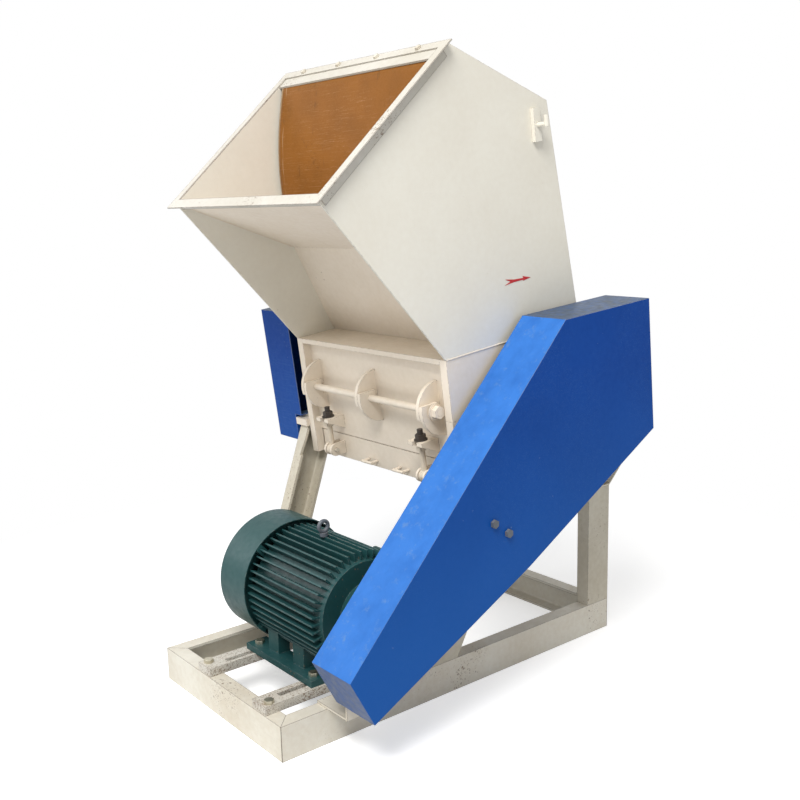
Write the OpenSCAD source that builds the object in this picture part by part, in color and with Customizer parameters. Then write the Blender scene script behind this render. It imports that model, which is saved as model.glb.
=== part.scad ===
// Plastic granulator: inclined cutting chamber, tilting hopper, belt drive and motor on a channel frame
// X runs to the belt side, Y to the rear, Z up; the origin is the centre of the floor rectangle

/* [Base frame] */
// Length of the base, front to rear
base_l = 1350; // [1330:5:1400]
// Inside face of the chamber to the outer face of a side sill
sill_inset = 15; // [10:1:20]
// Height of the rolled channel of the frame
channel_h = 104; // [100:1:110]
// Flange width of the channel
channel_b = 48; // [44:1:52]
// Web thickness of the channel
channel_web_t = 6; // [5:1:8]
// Flange thickness of the channel
channel_flange_t = 9; // [7:1:10]
// Front face of the base to the cross sill
cross_sill_y = 440; // [430:5:445]

/* [Front legs and bearing shelves] */
// Front of the base to the front edge of the left leg's foot
left_foot_y = 318; // [300:1:325]
// Front of the base to the front edge of the right leg's foot
right_foot_y = 530; // [520:1:535]
// Rearward lean of the left leg
left_lean = 25; // [24:0.25:25.5]
// Rearward lean of the right leg
right_lean = 20; // [19:0.25:20.5]
// Outward splay of both front legs
leg_splay = 9.25; // [9:0.05:9.4]
// Width of the bearing shelves
shelf_w = 65; // [60:1:66]
// Thickness of the bearing shelves
shelf_t = 24; // [20:1:26]
// Left shelf's front end ahead of the rotor axis
left_shelf_front = 312; // [300:2:316]
// Right shelf's front end ahead of the rotor axis
right_shelf_front = 165; // [160:1:180]

/* [Cutting chamber] */
// Inside width of the chamber
chamber_w = 700; // [680:5:720]
// Thickness of the chamber's side plates
side_t = 30; // [24:1:32]
// Rearward rise of the chamber
tilt = 7; // [5:0.5:9]
// Front of the base to the rotor axis
rotor_y = 892; // [880:1:900]
// Height of the rotor axis over the floor
rotor_z = 892; // [880:1:905]
// Rotor axis to the front edges of the side plates
reach_front = 300; // [295:1:310]
// Rotor axis to the rear edges of the side plates
reach_rear = 265; // [260:1:270]
// Height of the upper housing above the rotor axis
upper_h = 184; // [170:1:195]
// Depth of the lower housing below the rotor axis
lower_h = 220; // [214:1:230]
// Thickness of the chamber's front and rear walls
wall_t = 16; // [12:1:18]
// Set-back of the front wall behind the side plates' front edges
wall_inset = 28; // [24:1:32]
// Depth of the fixed front wall below the rotor axis
front_wall_h = 140; // [134:1:146]
// Radius of the shaft openings in the side plates
shaft_hole_r = 52; // [50:0.5:54]

/* [Rotor] */
// Radius swept by the rotor knives
cut_r = 195; // [190:1:196]
// Number of knife rows
knife_rows = 3; // [2:1:3]
// Number of knife carrier discs
carrier_n = 5; // [3:1:7]
// Thickness of a carrier disc
carrier_t = 26; // [20:1:32]
// Side gap between the rotor and the side plates
rotor_side_gap = 7; // [5:1:10]
// Thickness of a rotor knife
knife_t = 14; // [12:1:16]
// Width of a rotor knife
knife_w = 90; // [80:1:95]
// Shaft diameter inside the chamber
shaft_mid_d = 96; // [90:1:98]
// Shaft diameter in the bearings
shaft_end_d = 70; // [64:1:74]
// Bolts in each rotor knife
knife_bolt_n = 6; // [4:1:7]
// Knife bolt diameter
knife_bolt_d = 18; // [16:1:20]

/* [Bed knives and screen] */
// Gap between the rotor knives and the bed knives
cut_gap = 0.6; // [0.4:0.1:1.0]
// Thickness of a bed knife
bed_t = 22; // [18:1:24]
// Height of the bed knife seats below the rotor axis
bed_drop = 44; // [40:1:48]
// Gap between the rotor knives and the screen
screen_gap = 8; // [6:0.5:10]
// Thickness of the screen
screen_t = 8; // [6:0.5:9]
// Diameter of the screen's holes
screen_hole_d = 22; // [14:1:24]
// Holes along the screen
screen_hole_n = 16; // [10:1:18]
// Rows of holes round the screen
screen_row_n = 7; // [5:1:9]
// Angle from the horizontal to the screen's edges
screen_edge_a = 26; // [25:1:30]

/* [Hinge and hangers] */
// Hinge rod diameter
rod_d = 22; // [18:1:24]
// Hinge rod's height over the rotor axis
rod_rise = 28; // [26:0.5:32]
// Hinge rod's distance from the front wall
rod_out = 40; // [36:1:44]
// Radius of the half-moon hinge lobes
lobe_r = 82; // [78:1:86]
// Thickness of a hinge lobe
lobe_t = 14; // [10:1:16]
// Inside face of the chamber to the outer lobes
lobe_inset = 52; // [46:1:60]
// Inside face of the chamber to the hanger bolts
hanger_inset = 110; // [100:1:125]
// Hanger bolt diameter
hanger_d = 18; // [14:1:20]
// Hanger pin's depth below the rotor axis
pin_drop = 186; // [180:1:192]
// Hanger pin diameter
pin_d = 14; // [12:1:16]
// Depth of the hanger ledges below the rotor axis
ledge_drop = 72; // [66:1:80]

/* [Hopper] */
// Thickness of the hopper's side sheets
sheet_t = 6; // [4:0.5:7]
// Mouth's lower outer corner ahead of the rotor axis
mouth_low_y = 680; // [670:1:690]
// Mouth's lower outer corner above the rotor axis
mouth_low_z = 677; // [665:1:690]
// Length of the mouth's rim, bottom to top
mouth_l = 619; // [605:1:630]
// Slope of the mouth
mouth_a = 36; // [35:0.25:37]
// Width of the rim's outward flange
rim_w = 24; // [20:1:28]
// Depth of the rim's inner leg
rim_h = 32; // [26:1:36]
// Thickness of the rim
rim_t = 4; // [3:0.5:5]
// Rear top corner of the hopper behind the rotor axis
back_top_y = 195; // [188:1:202]
// Rear top corner of the hopper above the rotor axis
back_top_z = 856; // [845:1:865]
// Front panels' crease ahead of the rotor axis
crease_y = 263; // [255:1:270]
// Front panels' crease above the rotor axis
crease_z = 488; // [478:1:498]
// Throat's front edge ahead of the rotor axis
throat_y = 140; // [130:1:150]
// Curtain's length
curtain_l = 430; // [400:5:440]
// Curtain's thickness
curtain_t = 6; // [5:0.5:8]
// Width of the strip that clamps the curtain
strip_w = 60; // [56:1:62]

/* [Guards] */
// Depth of both guards along the rotor axis
guard_w = 170; // [160:1:174]
// Gap between the side plates and the guards
guard_gap = 20; // [20:0.5:24]
// Thickness of the guards' sheet
guard_t = 3; // [2:0.5:4]
// Half length of the flywheel guard
fly_guard_l = 310; // [300:1:318]
// Flywheel guard's top above the rotor axis
fly_guard_top = 272; // [265:1:280]
// Flywheel guard's bottom below the rotor axis
fly_guard_low = 190; // [186:1:194]

/* [Drive] */
// Outside diameter of the rotor pulley
rotor_pulley_d = 340; // [320:2:344]
// Outside diameter of the motor pulley
motor_pulley_d = 108; // [100:1:112]
// Number of V-belts
belt_n = 4; // [2:1:4]
// Pitch of the belt grooves
groove_pitch = 19; // [17:0.5:19.5]
// Top width of a belt
belt_w = 15; // [13:0.5:16]
// Thickness of a belt
belt_t = 10; // [9:0.5:11]
// Flywheel diameter
flywheel_d = 330; // [310:1:340]
// Width of the flywheel
flywheel_w = 76; // [60:1:80]

/* [Motor] */
// Front of the base to the motor axis
motor_y = 325; // [320:1:328]
// Middle of the base to the middle of the motor's feet
motor_x = 70; // [66:1:74]
// Height of the motor axis over its feet
motor_h = 200; // [198:1:204]
// Radius over the motor's cooling ribs
motor_r = 178; // [170:1:179]
// Length of the motor's ribbed body
motor_l = 343; // [336:1:350]
// Foot bolt spacing along the shaft
foot_l = 294; // [290:1:298]
// Foot bolt spacing across the shaft
foot_w = 270; // [260:1:280]
// Number of cooling ribs round the motor
rib_n = 48; // [36:4:56]
// Depth of a cooling rib
rib_d = 26; // [20:1:28]
// Thickness of a cooling rib
rib_t = 5; // [4:0.5:6]
// Length of the fan cover
fan_cover_l = 143; // [136:1:150]
// Fan cover's radius beyond the ribs
cover_over = 13; // [10:0.5:15]
// Diameter of the motor's shaft
motor_shaft_d = 55; // [50:1:56]
// Spacing of the motor's two rails
motor_rail_x = 312; // [306:1:316]
// Width of a motor rail
motor_rail_w = 70; // [66:1:74]
// Thickness of a motor rail
motor_rail_t = 26; // [22:1:28]

/* [Hidden] */
$fn = 48;
eps = 1;
big = 4000;
base_w = chamber_w - 2 * sill_inset;
lobe_x = chamber_w / 2 - lobe_inset;
hanger_x = chamber_w / 2 - hanger_inset;
cream = [0.86, 0.83, 0.74];
guard_blue = [0.12, 0.33, 0.72];
motor_green = [0.16, 0.36, 0.35];
steel = [0.62, 0.62, 0.63];
zinc = [0.72, 0.70, 0.62];
black_iron = [0.22, 0.21, 0.2];
curtain_brown = [0.66, 0.38, 0.14];
belt_black = [0.08, 0.08, 0.08];
root_r = 7;
plate_x = chamber_w / 2 + side_t;
wall_y = -reach_front + wall_inset;
shelf_z = -105;
bearing_h = -shelf_z;
rod_y = wall_y - rod_out;
guard_x = plate_x + guard_gap;
guard_out_x = guard_x + guard_w;
pulley_gap = 12;
pulley_x = plate_x + shelf_w + pulley_gap;
foot_z = channel_h + motor_rail_t;
motor_z = foot_z + motor_h;

// Places children measured from the front of the base
module from_front() translate([0, -base_l / 2, 0]) children();

// Places children in the chamber's tilted frame, at the rotor axis
module at_rotor() from_front() translate([0, rotor_y, rotor_z]) rotate([tilt, 0, 0]) children();

// Extrudes a profile drawn in Y and Z along X
module slab(x0, w) translate([x0, 0, 0]) rotate([90, 0, 90]) linear_extrude(w) children();

// Extrudes a profile drawn in Y and Z symmetrically about X = 0
module centred_slab(w) slab(-w / 2, w) children();

// Cylinder along X
module bar_x(x0, l, r) translate([x0, 0, 0]) rotate([0, 90, 0]) cylinder(h = l, r = r);

// Places children on both sides of the machine
module both_sides() {
    children();
    mirror([1, 0, 0]) children();
}

// Rolled channel profile: web along the second axis, flanges along the first
module channel_profile() {
    difference() {
        square([channel_b, channel_h]);
        translate([channel_web_t + root_r, channel_flange_t])
            square([channel_b, channel_h - 2 * channel_flange_t]);
        translate([channel_web_t, channel_flange_t + root_r])
            square([channel_b, channel_h - 2 * (channel_flange_t + root_r)]);
        for (s = [channel_flange_t + root_r, channel_h - channel_flange_t - root_r])
            translate([channel_web_t + root_r, s]) circle(r = root_r);
    }
}

// Hexagon bolt: head above z = 0, shank below
bolt_head_share = 0.65;
bolt_flats_share = 1.85;
module hex_bolt(d, l) {
    cylinder(h = bolt_head_share * d, r = bolt_flats_share * d / 2, $fn = 6);
    translate([0, 0, -l]) cylinder(h = l + eps, r = d / 2);
}

// Hexagon nut with a washer, standing on z = 0
washer_share = 0.18;
washer_r_share = 1.15;
nut_share = 0.85;
module nut_washer(d) {
    cylinder(h = washer_share * d, r = washer_r_share * d);
    cylinder(h = (nut_share + washer_share) * d, r = bolt_flats_share * d / 2, $fn = 6);
}

// Base sills, mitred at the corners
module sill_end(l) {
    polygon([[0, 0], [l, 0], [l - channel_b, channel_b], [channel_b, channel_b]]);
}

module front_sill() color(cream) from_front() translate([-base_w / 2, 0, 0]) intersection() {
    slab(0, base_w) channel_profile();
    linear_extrude(channel_h) sill_end(base_w);
}

module rear_sill() color(cream) from_front() translate([-base_w / 2, base_l, 0]) mirror([0, 1, 0])
    intersection() {
        slab(0, base_w) channel_profile();
        linear_extrude(channel_h) sill_end(base_w);
    }

module side_sill() from_front() translate([-base_w / 2, 0, 0]) intersection() {
    translate([0, base_l, 0]) rotate([90, 0, 0]) linear_extrude(base_l) channel_profile();
    mirror([1, -1, 0]) linear_extrude(channel_h) sill_end(base_l);
}

module left_sill() color(cream) side_sill();

module right_sill() color(cream) mirror([1, 0, 0]) side_sill();

module cross_sill() color(cream) from_front() translate([0, cross_sill_y, 0])
    centred_slab(base_w - 2 * channel_b) channel_profile();

// Front legs: leaning, splayed channels between the sill and the bearing shelf
leg_over = 140;
cope_gap = 0.5;
module at_leg(foot_y, lean) from_front() translate([-base_w / 2, foot_y, channel_h])
    rotate([-lean, -leg_splay, 0]) translate([0, 0, -leg_over]) children();

module front_leg(foot_y, lean) intersection() {
    difference() {
        at_leg(foot_y, lean) linear_extrude(rotor_z) channel_profile();
        at_rotor() translate([-plate_x - cope_gap, -base_l, -lower_h - cope_gap])
            cube([plate_x, 2 * base_l, big]);
    }
    from_front() translate([-base_w, 0, channel_h]) cube([base_w, base_l, rotor_z]);
    at_rotor() translate([-base_w, -base_l, shelf_z - shelf_t - big]) cube([base_w, 2 * base_l, big]);
}

module front_leg_left() color(cream) front_leg(left_foot_y, left_lean);

module front_leg_right() color(cream) mirror([1, 0, 0]) front_leg(right_foot_y, right_lean);

// Rear legs on the rear corners, with the cross beam on top of them
rear_leg_h = 409;
module rear_legs() color(cream) both_sides() from_front()
    translate([-base_w / 2, base_l - channel_h, channel_h]) linear_extrude(rear_leg_h) channel_profile();

beam_x = chamber_w / 2 + channel_b;
beam_z = channel_h + rear_leg_h;
module rear_cross_beam() color(cream) from_front() translate([0, base_l, beam_z]) intersection() {
    mirror([0, 1, 0]) centred_slab(2 * beam_x) channel_profile();
    rotate([90, 0, 0]) linear_extrude(channel_b) polygon([[-beam_x, channel_h], [-base_w / 2, 0],
        [base_w / 2, 0], [beam_x, channel_h]]);
}

// Girders under the side plates, from the front legs back to the cross beam
module girder(foot_y, lean) difference() {
    at_rotor() translate([-beam_x, -base_l, -lower_h]) mirror([0, 0, 1]) translate([0, 2 * base_l, 0])
        rotate([90, 0, 0]) linear_extrude(2 * base_l) channel_profile();
    at_leg(foot_y, lean) translate([-big / 2, channel_h - big, -big / 2]) cube([big, big, big]);
    from_front() translate([-base_w, 0, 0]) cube([2 * base_w, big, beam_z + channel_h]);
    from_front() translate([-base_w, base_l, 0]) cube([2 * base_w, big, big]);
}

module girders() color(cream) {
    girder(left_foot_y, left_lean);
    mirror([1, 0, 0]) girder(right_foot_y, right_lean);
}

// Bearing shelf with gussets, bolted to the outer face of the lower side plate
gusset_t = 12;
gusset_h = 70;
gusset_ys = [130, 240];
bearing_bolt_y = 105;
bearing_bolt_d = 20;
module bearing_shelf(front) difference() {
    union() {
        slab(plate_x, shelf_w) translate([-front, shelf_z - shelf_t]) square([front + reach_rear, shelf_t]);
        for (y = gusset_ys) translate([0, y - gusset_t / 2, 0]) rotate([90, 0, 0]) mirror([0, 0, 1])
            linear_extrude(gusset_t) polygon([[plate_x, shelf_z - shelf_t],
                [plate_x + shelf_w, shelf_z - shelf_t], [plate_x, shelf_z - shelf_t - gusset_h]]);
    }
    for (s = [-1, 1]) translate([plate_x + shelf_w / 2, s * bearing_bolt_y, shelf_z - shelf_t - eps])
        cylinder(h = shelf_t + 2 * eps, r = bearing_bolt_d / 2);
}

module bearing_shelf_left() color(cream) mirror([1, 0, 0]) at_rotor() bearing_shelf(left_shelf_front);

module bearing_shelf_right() color(cream) at_rotor() bearing_shelf(right_shelf_front);

// Lower side plates: half of each shaft opening, standing on the girders
module lower_side() difference() {
    slab(chamber_w / 2, side_t) translate([-reach_front, -lower_h])
        square([reach_front + reach_rear, lower_h]);
    bar_x(chamber_w / 2 - eps, side_t + 2 * eps, shaft_hole_r);
}

module lower_side_left() color(cream) mirror([1, 0, 0]) at_rotor() lower_side();

module lower_side_right() color(cream) at_rotor() lower_side();

// Half-moon hinge lobes, centred on the front wall at the rod's height
rod_clear = 0.08;
lobe_gap = 1;

// Upper lobes: bounded so that they pass the fixed wall as the hopper tilts
module upper_lobe_outline() difference() {
    intersection() {
        translate([wall_y, rod_rise]) circle(r = lobe_r);
        union() {
            translate([wall_y - lobe_r, rod_rise]) square([lobe_r, lobe_r]);
            translate([rod_y, rod_rise]) circle(r = rod_d);
            translate([rod_y - lobe_r, rod_rise - rod_d]) square([lobe_r, lobe_r]);
        }
    }
    translate([rod_y, rod_rise]) circle(r = rod_d / 2 + rod_clear);
}

// Lower lobes keep clear of the upper housing's front wall above the split
module lower_lobe_outline() difference() {
    intersection() {
        translate([wall_y, rod_rise]) circle(r = lobe_r);
        union() {
            translate([wall_y - lobe_r, rod_rise - lobe_r]) square([lobe_r, lobe_r - rod_rise]);
            translate([wall_y - lobe_r, rod_rise - lobe_r])
                square([lobe_r - rod_out + rod_d, lobe_r + rod_d]);
        }
    }
    translate([rod_y, rod_rise]) circle(r = rod_d / 2 + rod_clear);
}

lobe_xs = [-lobe_x, 0, lobe_x];

// Slotted ledges that carry the hanger bolts' nuts
ledge_w = 68;
ledge_t = 12;
ledge_tip = 26;
ledge_l = rod_out + ledge_tip;
pin_y = rod_y;
module ledge() {
    difference() {
        translate([-ledge_w / 2, wall_y - ledge_l, -ledge_drop - ledge_t]) cube([ledge_w, ledge_l, ledge_t]);
        translate([-hanger_d / 2 - eps, wall_y - ledge_l - eps, -ledge_drop - ledge_t - eps])
            cube([hanger_d + 2 * eps, ledge_l - rod_out + eps, ledge_t + 2 * eps]);
        translate([0, pin_y, -ledge_drop - ledge_t - eps])
            cylinder(h = ledge_t + 2 * eps, r = hanger_d / 2 + eps);
    }
    translate([ledge_w / 2 - ledge_t, 0, 0]) slab(0, ledge_t)
        polygon([[wall_y, -ledge_drop - ledge_t], [wall_y - ledge_l, -ledge_drop - ledge_t],
            [wall_y, -ledge_drop - ledge_t - ledge_l / 2]]);
}

module lower_front_wall() color(cream) at_rotor() {
    centred_slab(chamber_w) translate([wall_y, -front_wall_h]) square([wall_t, front_wall_h]);
    for (x = lobe_xs) slab(x + lobe_gap / 2, lobe_t) lower_lobe_outline();
    for (s = [-1, 1]) translate([s * hanger_x, 0, 0]) ledge();
    centred_slab(chamber_w) bed_seat_outline(-1);
}

// Welded seat under a bed knife; side is -1 at the front, 1 at the rear
seat_h = 34;
knife_in_y = sqrt(pow(cut_r + cut_gap, 2) - pow(bed_drop - bed_t, 2));
rear_wall_y = reach_rear - wall_t;
front_wall_y = wall_y + wall_t;
bed_back = 14;
module bed_seat_outline(side) {
    y0 = side < 0 ? front_wall_y : knife_in_y + bed_back;
    y1 = side < 0 ? -knife_in_y - bed_back : rear_wall_y;
    translate([y0, -bed_drop - seat_h]) square([y1 - y0, seat_h]);
}

rear_flange_l = 34;
module lower_rear_wall() color(cream) at_rotor() {
    centred_slab(chamber_w) translate([rear_wall_y, -lower_h]) square([wall_t, lower_h]);
    difference() {
        centred_slab(chamber_w) translate([reach_rear, -lower_h]) square([rear_flange_l, wall_t]);
        rear_bolt_holes(-lower_h - eps, wall_t + 2 * eps);
    }
    difference() {
        centred_slab(chamber_w) translate([reach_rear, -wall_t]) square([rear_flange_l, wall_t]);
        flange_bolt_holes(-wall_t - eps, wall_t + 2 * eps);
    }
    centred_slab(chamber_w) bed_seat_outline(1);
}

// Vertical bolts at the rear: the hopper's through the split flange, the cradle's from below
rear_bolt_d = 16;
rear_bolt_clear = 2.2;
rear_bolt_y = reach_rear + rear_flange_l / 2;
rear_bolt_share = 0.4;
flange_bolt_share = 0.2;
rear_bolt_xs = [-rear_bolt_share * chamber_w, rear_bolt_share * chamber_w];
flange_bolt_xs = [for (i = [-2 : 2]) i * flange_bolt_share * chamber_w];
module rear_bolt_holes(z0, h) for (x = rear_bolt_xs) translate([x, rear_bolt_y, z0])
    cylinder(h = h, r = rear_bolt_d / 2 + rear_bolt_clear);
module flange_bolt_holes(z0, h) for (x = flange_bolt_xs) translate([x, rear_bolt_y, z0])
    cylinder(h = h, r = rear_bolt_d / 2 + rear_bolt_clear);

// Bed knives: bevelled towards the rotor, clamped on their seats
bed_side_gap = 2;
bed_bolt_n = 6;
bed_bolt_d = 16;
bed_bolt_pitch = (chamber_w - 2 * bed_side_gap) / bed_bolt_n;
module bed_knife_outline(side) {
    z1 = -bed_drop + bed_t;
    back = side < 0 ? front_wall_y : rear_wall_y;
    polygon([[side * knife_in_y, z1], [back, z1], [back, -bed_drop],
        [side * (knife_in_y + bed_t / 2), -bed_drop]]);
}

module bed_knives() color(steel) at_rotor() for (side = [-1, 1]) difference() {
    centred_slab(chamber_w - 2 * bed_side_gap) bed_knife_outline(side);
    bed_bolts(side, bed_bolt_d / 2 + bed_side_gap / 2, -bed_drop - eps, bed_t + 2 * eps);
}

function bed_bolt_y(side) = side * (side < 0 ? -front_wall_y + knife_in_y + bed_back
    : rear_wall_y + knife_in_y + bed_back) / 2;
module bed_bolts(side, r, z0, h) for (i = [0 : bed_bolt_n - 1])
    translate([(i + 0.5 - bed_bolt_n / 2) * bed_bolt_pitch, bed_bolt_y(side), z0]) cylinder(h = h, r = r);

// Fixed fasteners of the lower housing: bed knife heads, rail bolts, bearing bolts
module housing_bolts() color(zinc) at_rotor() {
    for (side = [-1, 1]) for (i = [0 : bed_bolt_n - 1])
        translate([(i + 0.5 - bed_bolt_n / 2) * bed_bolt_pitch, bed_bolt_y(side), -bed_drop + bed_t])
            hex_bolt(bed_bolt_d, bed_t);
    both_sides() {
        for (s = [-1, 1]) translate([plate_x + shelf_w / 2, s * bearing_bolt_y, shelf_z + bearing_foot_t])
            hex_bolt(bearing_bolt_d, bearing_foot_t + shelf_t);
    }
}

// Pillow blocks on the bearing rails
bearing_l = 270;
bearing_w = 44;
bearing_foot_t = 26;
bearing_r = 72;
ring_r = 49;
ring_clear = 0.06;
module bearing_housing() difference() {
    translate([plate_x + shelf_w / 2 - bearing_w / 2, 0, 0]) slab(0, bearing_w) difference() {
        union() {
            circle(r = bearing_r);
            translate([-bearing_l / 2, shelf_z]) square([bearing_l, bearing_foot_t]);
            polygon([[-bearing_r, shelf_z], [bearing_r, shelf_z], [bearing_r, 0], [-bearing_r, 0]]);
        }
        circle(r = ring_r + ring_clear);
    }
    for (s = [-1, 1]) translate([plate_x + shelf_w / 2, s * bearing_bolt_y, shelf_z - eps])
        cylinder(h = bearing_foot_t + 2 * eps, r = bearing_bolt_d / 2);
}

module bearing_housings() color(motor_green) at_rotor() both_sides() bearing_housing();

// Rotor shaft: stepped, with the bearings' inner rings as collars
shaft_mid_l = 2 * plate_x - 2 * eps;
shaft_end_gap = 18;
shaft_left = pulley_x + flywheel_w;
shaft_l = shaft_left + guard_out_x - shaft_end_gap;
ring_w = 46;
module rotor_shaft() color(steel) at_rotor() {
    bar_x(-shaft_mid_l / 2, shaft_mid_l, shaft_mid_d / 2);
    bar_x(-shaft_left, shaft_l, shaft_end_d / 2);
    for (s = [-1, 1]) bar_x(s * (plate_x + shelf_w / 2) - ring_w / 2, ring_w, ring_r);
}

// Knife carrier: hub with an arm for each knife row
rotor_w = chamber_w - 2 * rotor_side_gap;
hub_r = 82;
seat_back = 62;
knife_in_r = cut_r - knife_w;
arm_start_a = 18;
arm_root = 34;
arm_foot = 10;
arm_tip_gap = 22;
arm_back_gap = 31;
arm_back = 14;
hub_cut = 12;
function arm_a(i) = i * 360 / knife_rows + arm_start_a;
module carrier_outline() difference() {
    union() {
        circle(r = hub_r);
        for (i = [0 : knife_rows - 1]) rotate(arm_a(i))
            polygon([[knife_in_r - arm_root, knife_t / 2], [cut_r - arm_tip_gap, knife_t / 2],
                [cut_r - arm_back_gap, knife_t / 2 + arm_back],
                [knife_in_r + arm_foot, seat_back + knife_t / 2], [-arm_foot, hub_r - hub_cut],
                [-arm_foot, knife_t / 2]]);
    }
    circle(r = shaft_mid_d / 2);
}

// Bar behind each knife, welded across the carriers
bar_in = 6;
bar_tip_gap = 18;
bar_back_gap = 26;
bar_tip_t = 18;
bar_foot = 22;
bar_t = 30;
module seat_bar_outline() for (i = [0 : knife_rows - 1]) rotate(arm_a(i))
    polygon([[knife_in_r + bar_in, knife_t / 2], [cut_r - bar_tip_gap, knife_t / 2],
        [cut_r - bar_back_gap, knife_t / 2 + bar_tip_t], [knife_in_r + bar_foot, knife_t / 2 + bar_t],
        [knife_in_r + bar_in, knife_t / 2 + bar_t]]);

module rotor_body() color(black_iron) at_rotor() {
    for (i = [0 : carrier_n - 1])
        slab(-rotor_w / 2 + i * (rotor_w - carrier_t) / (carrier_n - 1), carrier_t) carrier_outline();
    centred_slab(rotor_w) seat_bar_outline();
}

knife_bevel = 12;
knife_tip = sqrt(pow(cut_r, 2) - pow(knife_t / 2, 2));
module rotor_knives() color(steel) at_rotor() centred_slab(rotor_w)
    for (i = [0 : knife_rows - 1]) rotate(arm_a(i))
        polygon([[knife_in_r, -knife_t / 2], [knife_tip, -knife_t / 2],
            [knife_tip - knife_bevel, knife_t / 2], [knife_in_r, knife_t / 2]]);

knife_bolt_share = 0.4;
knife_head_share = 0.6;
knife_bolt_pitch = rotor_w / knife_bolt_n;
knife_bolt_y = knife_in_r + knife_bolt_share * knife_w;
module rotor_knife_bolts() color(black_iron) at_rotor()
    for (i = [0 : knife_rows - 1]) rotate([arm_a(i), 0, 0]) for (j = [0 : knife_bolt_n - 1])
        translate([(j + 0.5 - knife_bolt_n / 2) * knife_bolt_pitch, knife_bolt_y, -knife_t / 2])
            mirror([0, 0, 1]) cylinder(h = knife_head_share * knife_bolt_d,
                r = bolt_flats_share * knife_bolt_d / 2, $fn = 6);

// Pulleys and belts
pulley_edge = 6;
belt_proud = 1;
belt_floor = 3;
pulley_w = belt_n * groove_pitch + pulley_edge;
groove_d = belt_t + belt_floor;
belt_clear = 0.35;
function groove_x(i) = (i + 0.5 - belt_n / 2) * groove_pitch + pulley_w / 2;

function belt_half(t) = belt_w / 2 - t * tan(groove_a);
groove_a = 17;
module groove_profile(d) polygon([[d / 2 - belt_t - belt_floor, -belt_half(belt_t + belt_floor) - belt_clear],
    [d / 2 + 2 * belt_proud, -belt_half(-belt_proud) - belt_clear],
    [d / 2 + 2 * belt_proud, belt_half(-belt_proud) + belt_clear],
    [d / 2 - belt_t - belt_floor, belt_half(belt_t + belt_floor) + belt_clear]]);

module pulley_rim(d, rim) rotate_extrude($fn = 96) difference() {
    translate([d / 2 - rim, 0]) square([rim, pulley_w]);
    for (i = [0 : belt_n - 1]) translate([0, groove_x(i)]) groove_profile(d);
}

web_t = 16;
hub_wall = 24;
rim_back = 14;
pulley_hole_n = 6;
pulley_hole_r = 20;
module rotor_pulley() color(black_iron) at_rotor() translate([pulley_x, 0, 0]) rotate([0, 90, 0]) {
    pulley_rim(rotor_pulley_d, groove_d + rim_back);
    difference() {
        union() {
            translate([0, 0, pulley_w / 2 - web_t / 2])
                cylinder(h = web_t, r = rotor_pulley_d / 2 - groove_d - rim_back + eps);
            cylinder(h = pulley_w, r = shaft_end_d / 2 + hub_wall);
        }
        translate([0, 0, -eps]) cylinder(h = pulley_w + 2 * eps, r = shaft_end_d / 2);
        for (i = [0 : pulley_hole_n - 1]) rotate(i * 360 / pulley_hole_n)
            translate([(rotor_pulley_d + shaft_end_d) / 4, 0, 0]) cylinder(h = pulley_w, r = pulley_hole_r);
    }
}

fly_web_t = 28;
fly_rim_w = 34;
fly_dish_w = flywheel_d / 2 - fly_rim_w - shaft_end_d / 2 - hub_wall;
module flywheel() color(black_iron) at_rotor() translate([-pulley_x, 0, 0]) rotate([0, -90, 0]) difference() {
    cylinder(h = flywheel_w, r = flywheel_d / 2, $fn = 96);
    translate([0, 0, fly_web_t]) rotate_extrude($fn = 96)
        translate([shaft_end_d / 2 + hub_wall, 0]) square([fly_dish_w, flywheel_w]);
    translate([0, 0, -eps]) cylinder(h = flywheel_w + 2 * eps, r = shaft_end_d / 2);
}

// Screen cradle: curved ribs between a front plate and a rear bar, hung on two pins
screen_r = cut_r + screen_gap;
cradle_in_r = screen_r + screen_t;
cradle_rib_w = 26;
cradle_side_gap = 7;
cradle_out_r = cradle_in_r + cradle_rib_w;
cradle_w = chamber_w - 2 * cradle_side_gap;
cradle_rib_n = 4;
cradle_rib_t = 12;
cradle_below = 6;
cradle_low = lower_h + cradle_below;
cradle_rear_y = 206;
cradle_top = 100;
cradle_flange_t = 10;
cradle_step = 6;
cradle_set = 4;
cradle_gap = 2;
foot_share = 0.6;
knee_share = 0.3;
module cradle_rib_outline() {
    difference() {
        union() {
            intersection() {
                circle(r = cradle_out_r);
                translate([-cradle_out_r, -cradle_out_r])
                    square([2 * cradle_out_r, cradle_out_r - cradle_top]);
            }
            polygon([[front_wall_y, -cradle_low], [front_wall_y, -front_wall_h - cradle_step],
                [front_wall_y + cradle_set, -cradle_top], [-cradle_in_r * foot_share, -cradle_top],
                [-cradle_in_r * knee_share, -cradle_low]]);
            polygon([[cradle_rear_y + wall_t, -cradle_low], [cradle_rear_y + wall_t, -cradle_top],
                [cradle_in_r * foot_share, -cradle_top], [cradle_in_r * knee_share, -cradle_low]]);
        }
        circle(r = cradle_in_r, $fn = 96);
    }
}

ear_w = 10;
ear_side_gap = 2;
ear_gap = hanger_d + 2 * ear_side_gap;
ear_share = 1.5;
pin_clear = 0.08;
module hanger_ears() for (s = [-1, 1]) slab(s * (ear_gap + ear_w) / 2 - ear_w / 2, ear_w) difference() {
    union() {
        translate([pin_y, -pin_drop]) circle(r = ear_share * pin_d);
        translate([pin_y, -pin_drop - ear_share * pin_d]) square([wall_y - pin_y, 2 * ear_share * pin_d]);
    }
    translate([pin_y, -pin_drop]) circle(r = pin_d / 2 + pin_clear);
}

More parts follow.
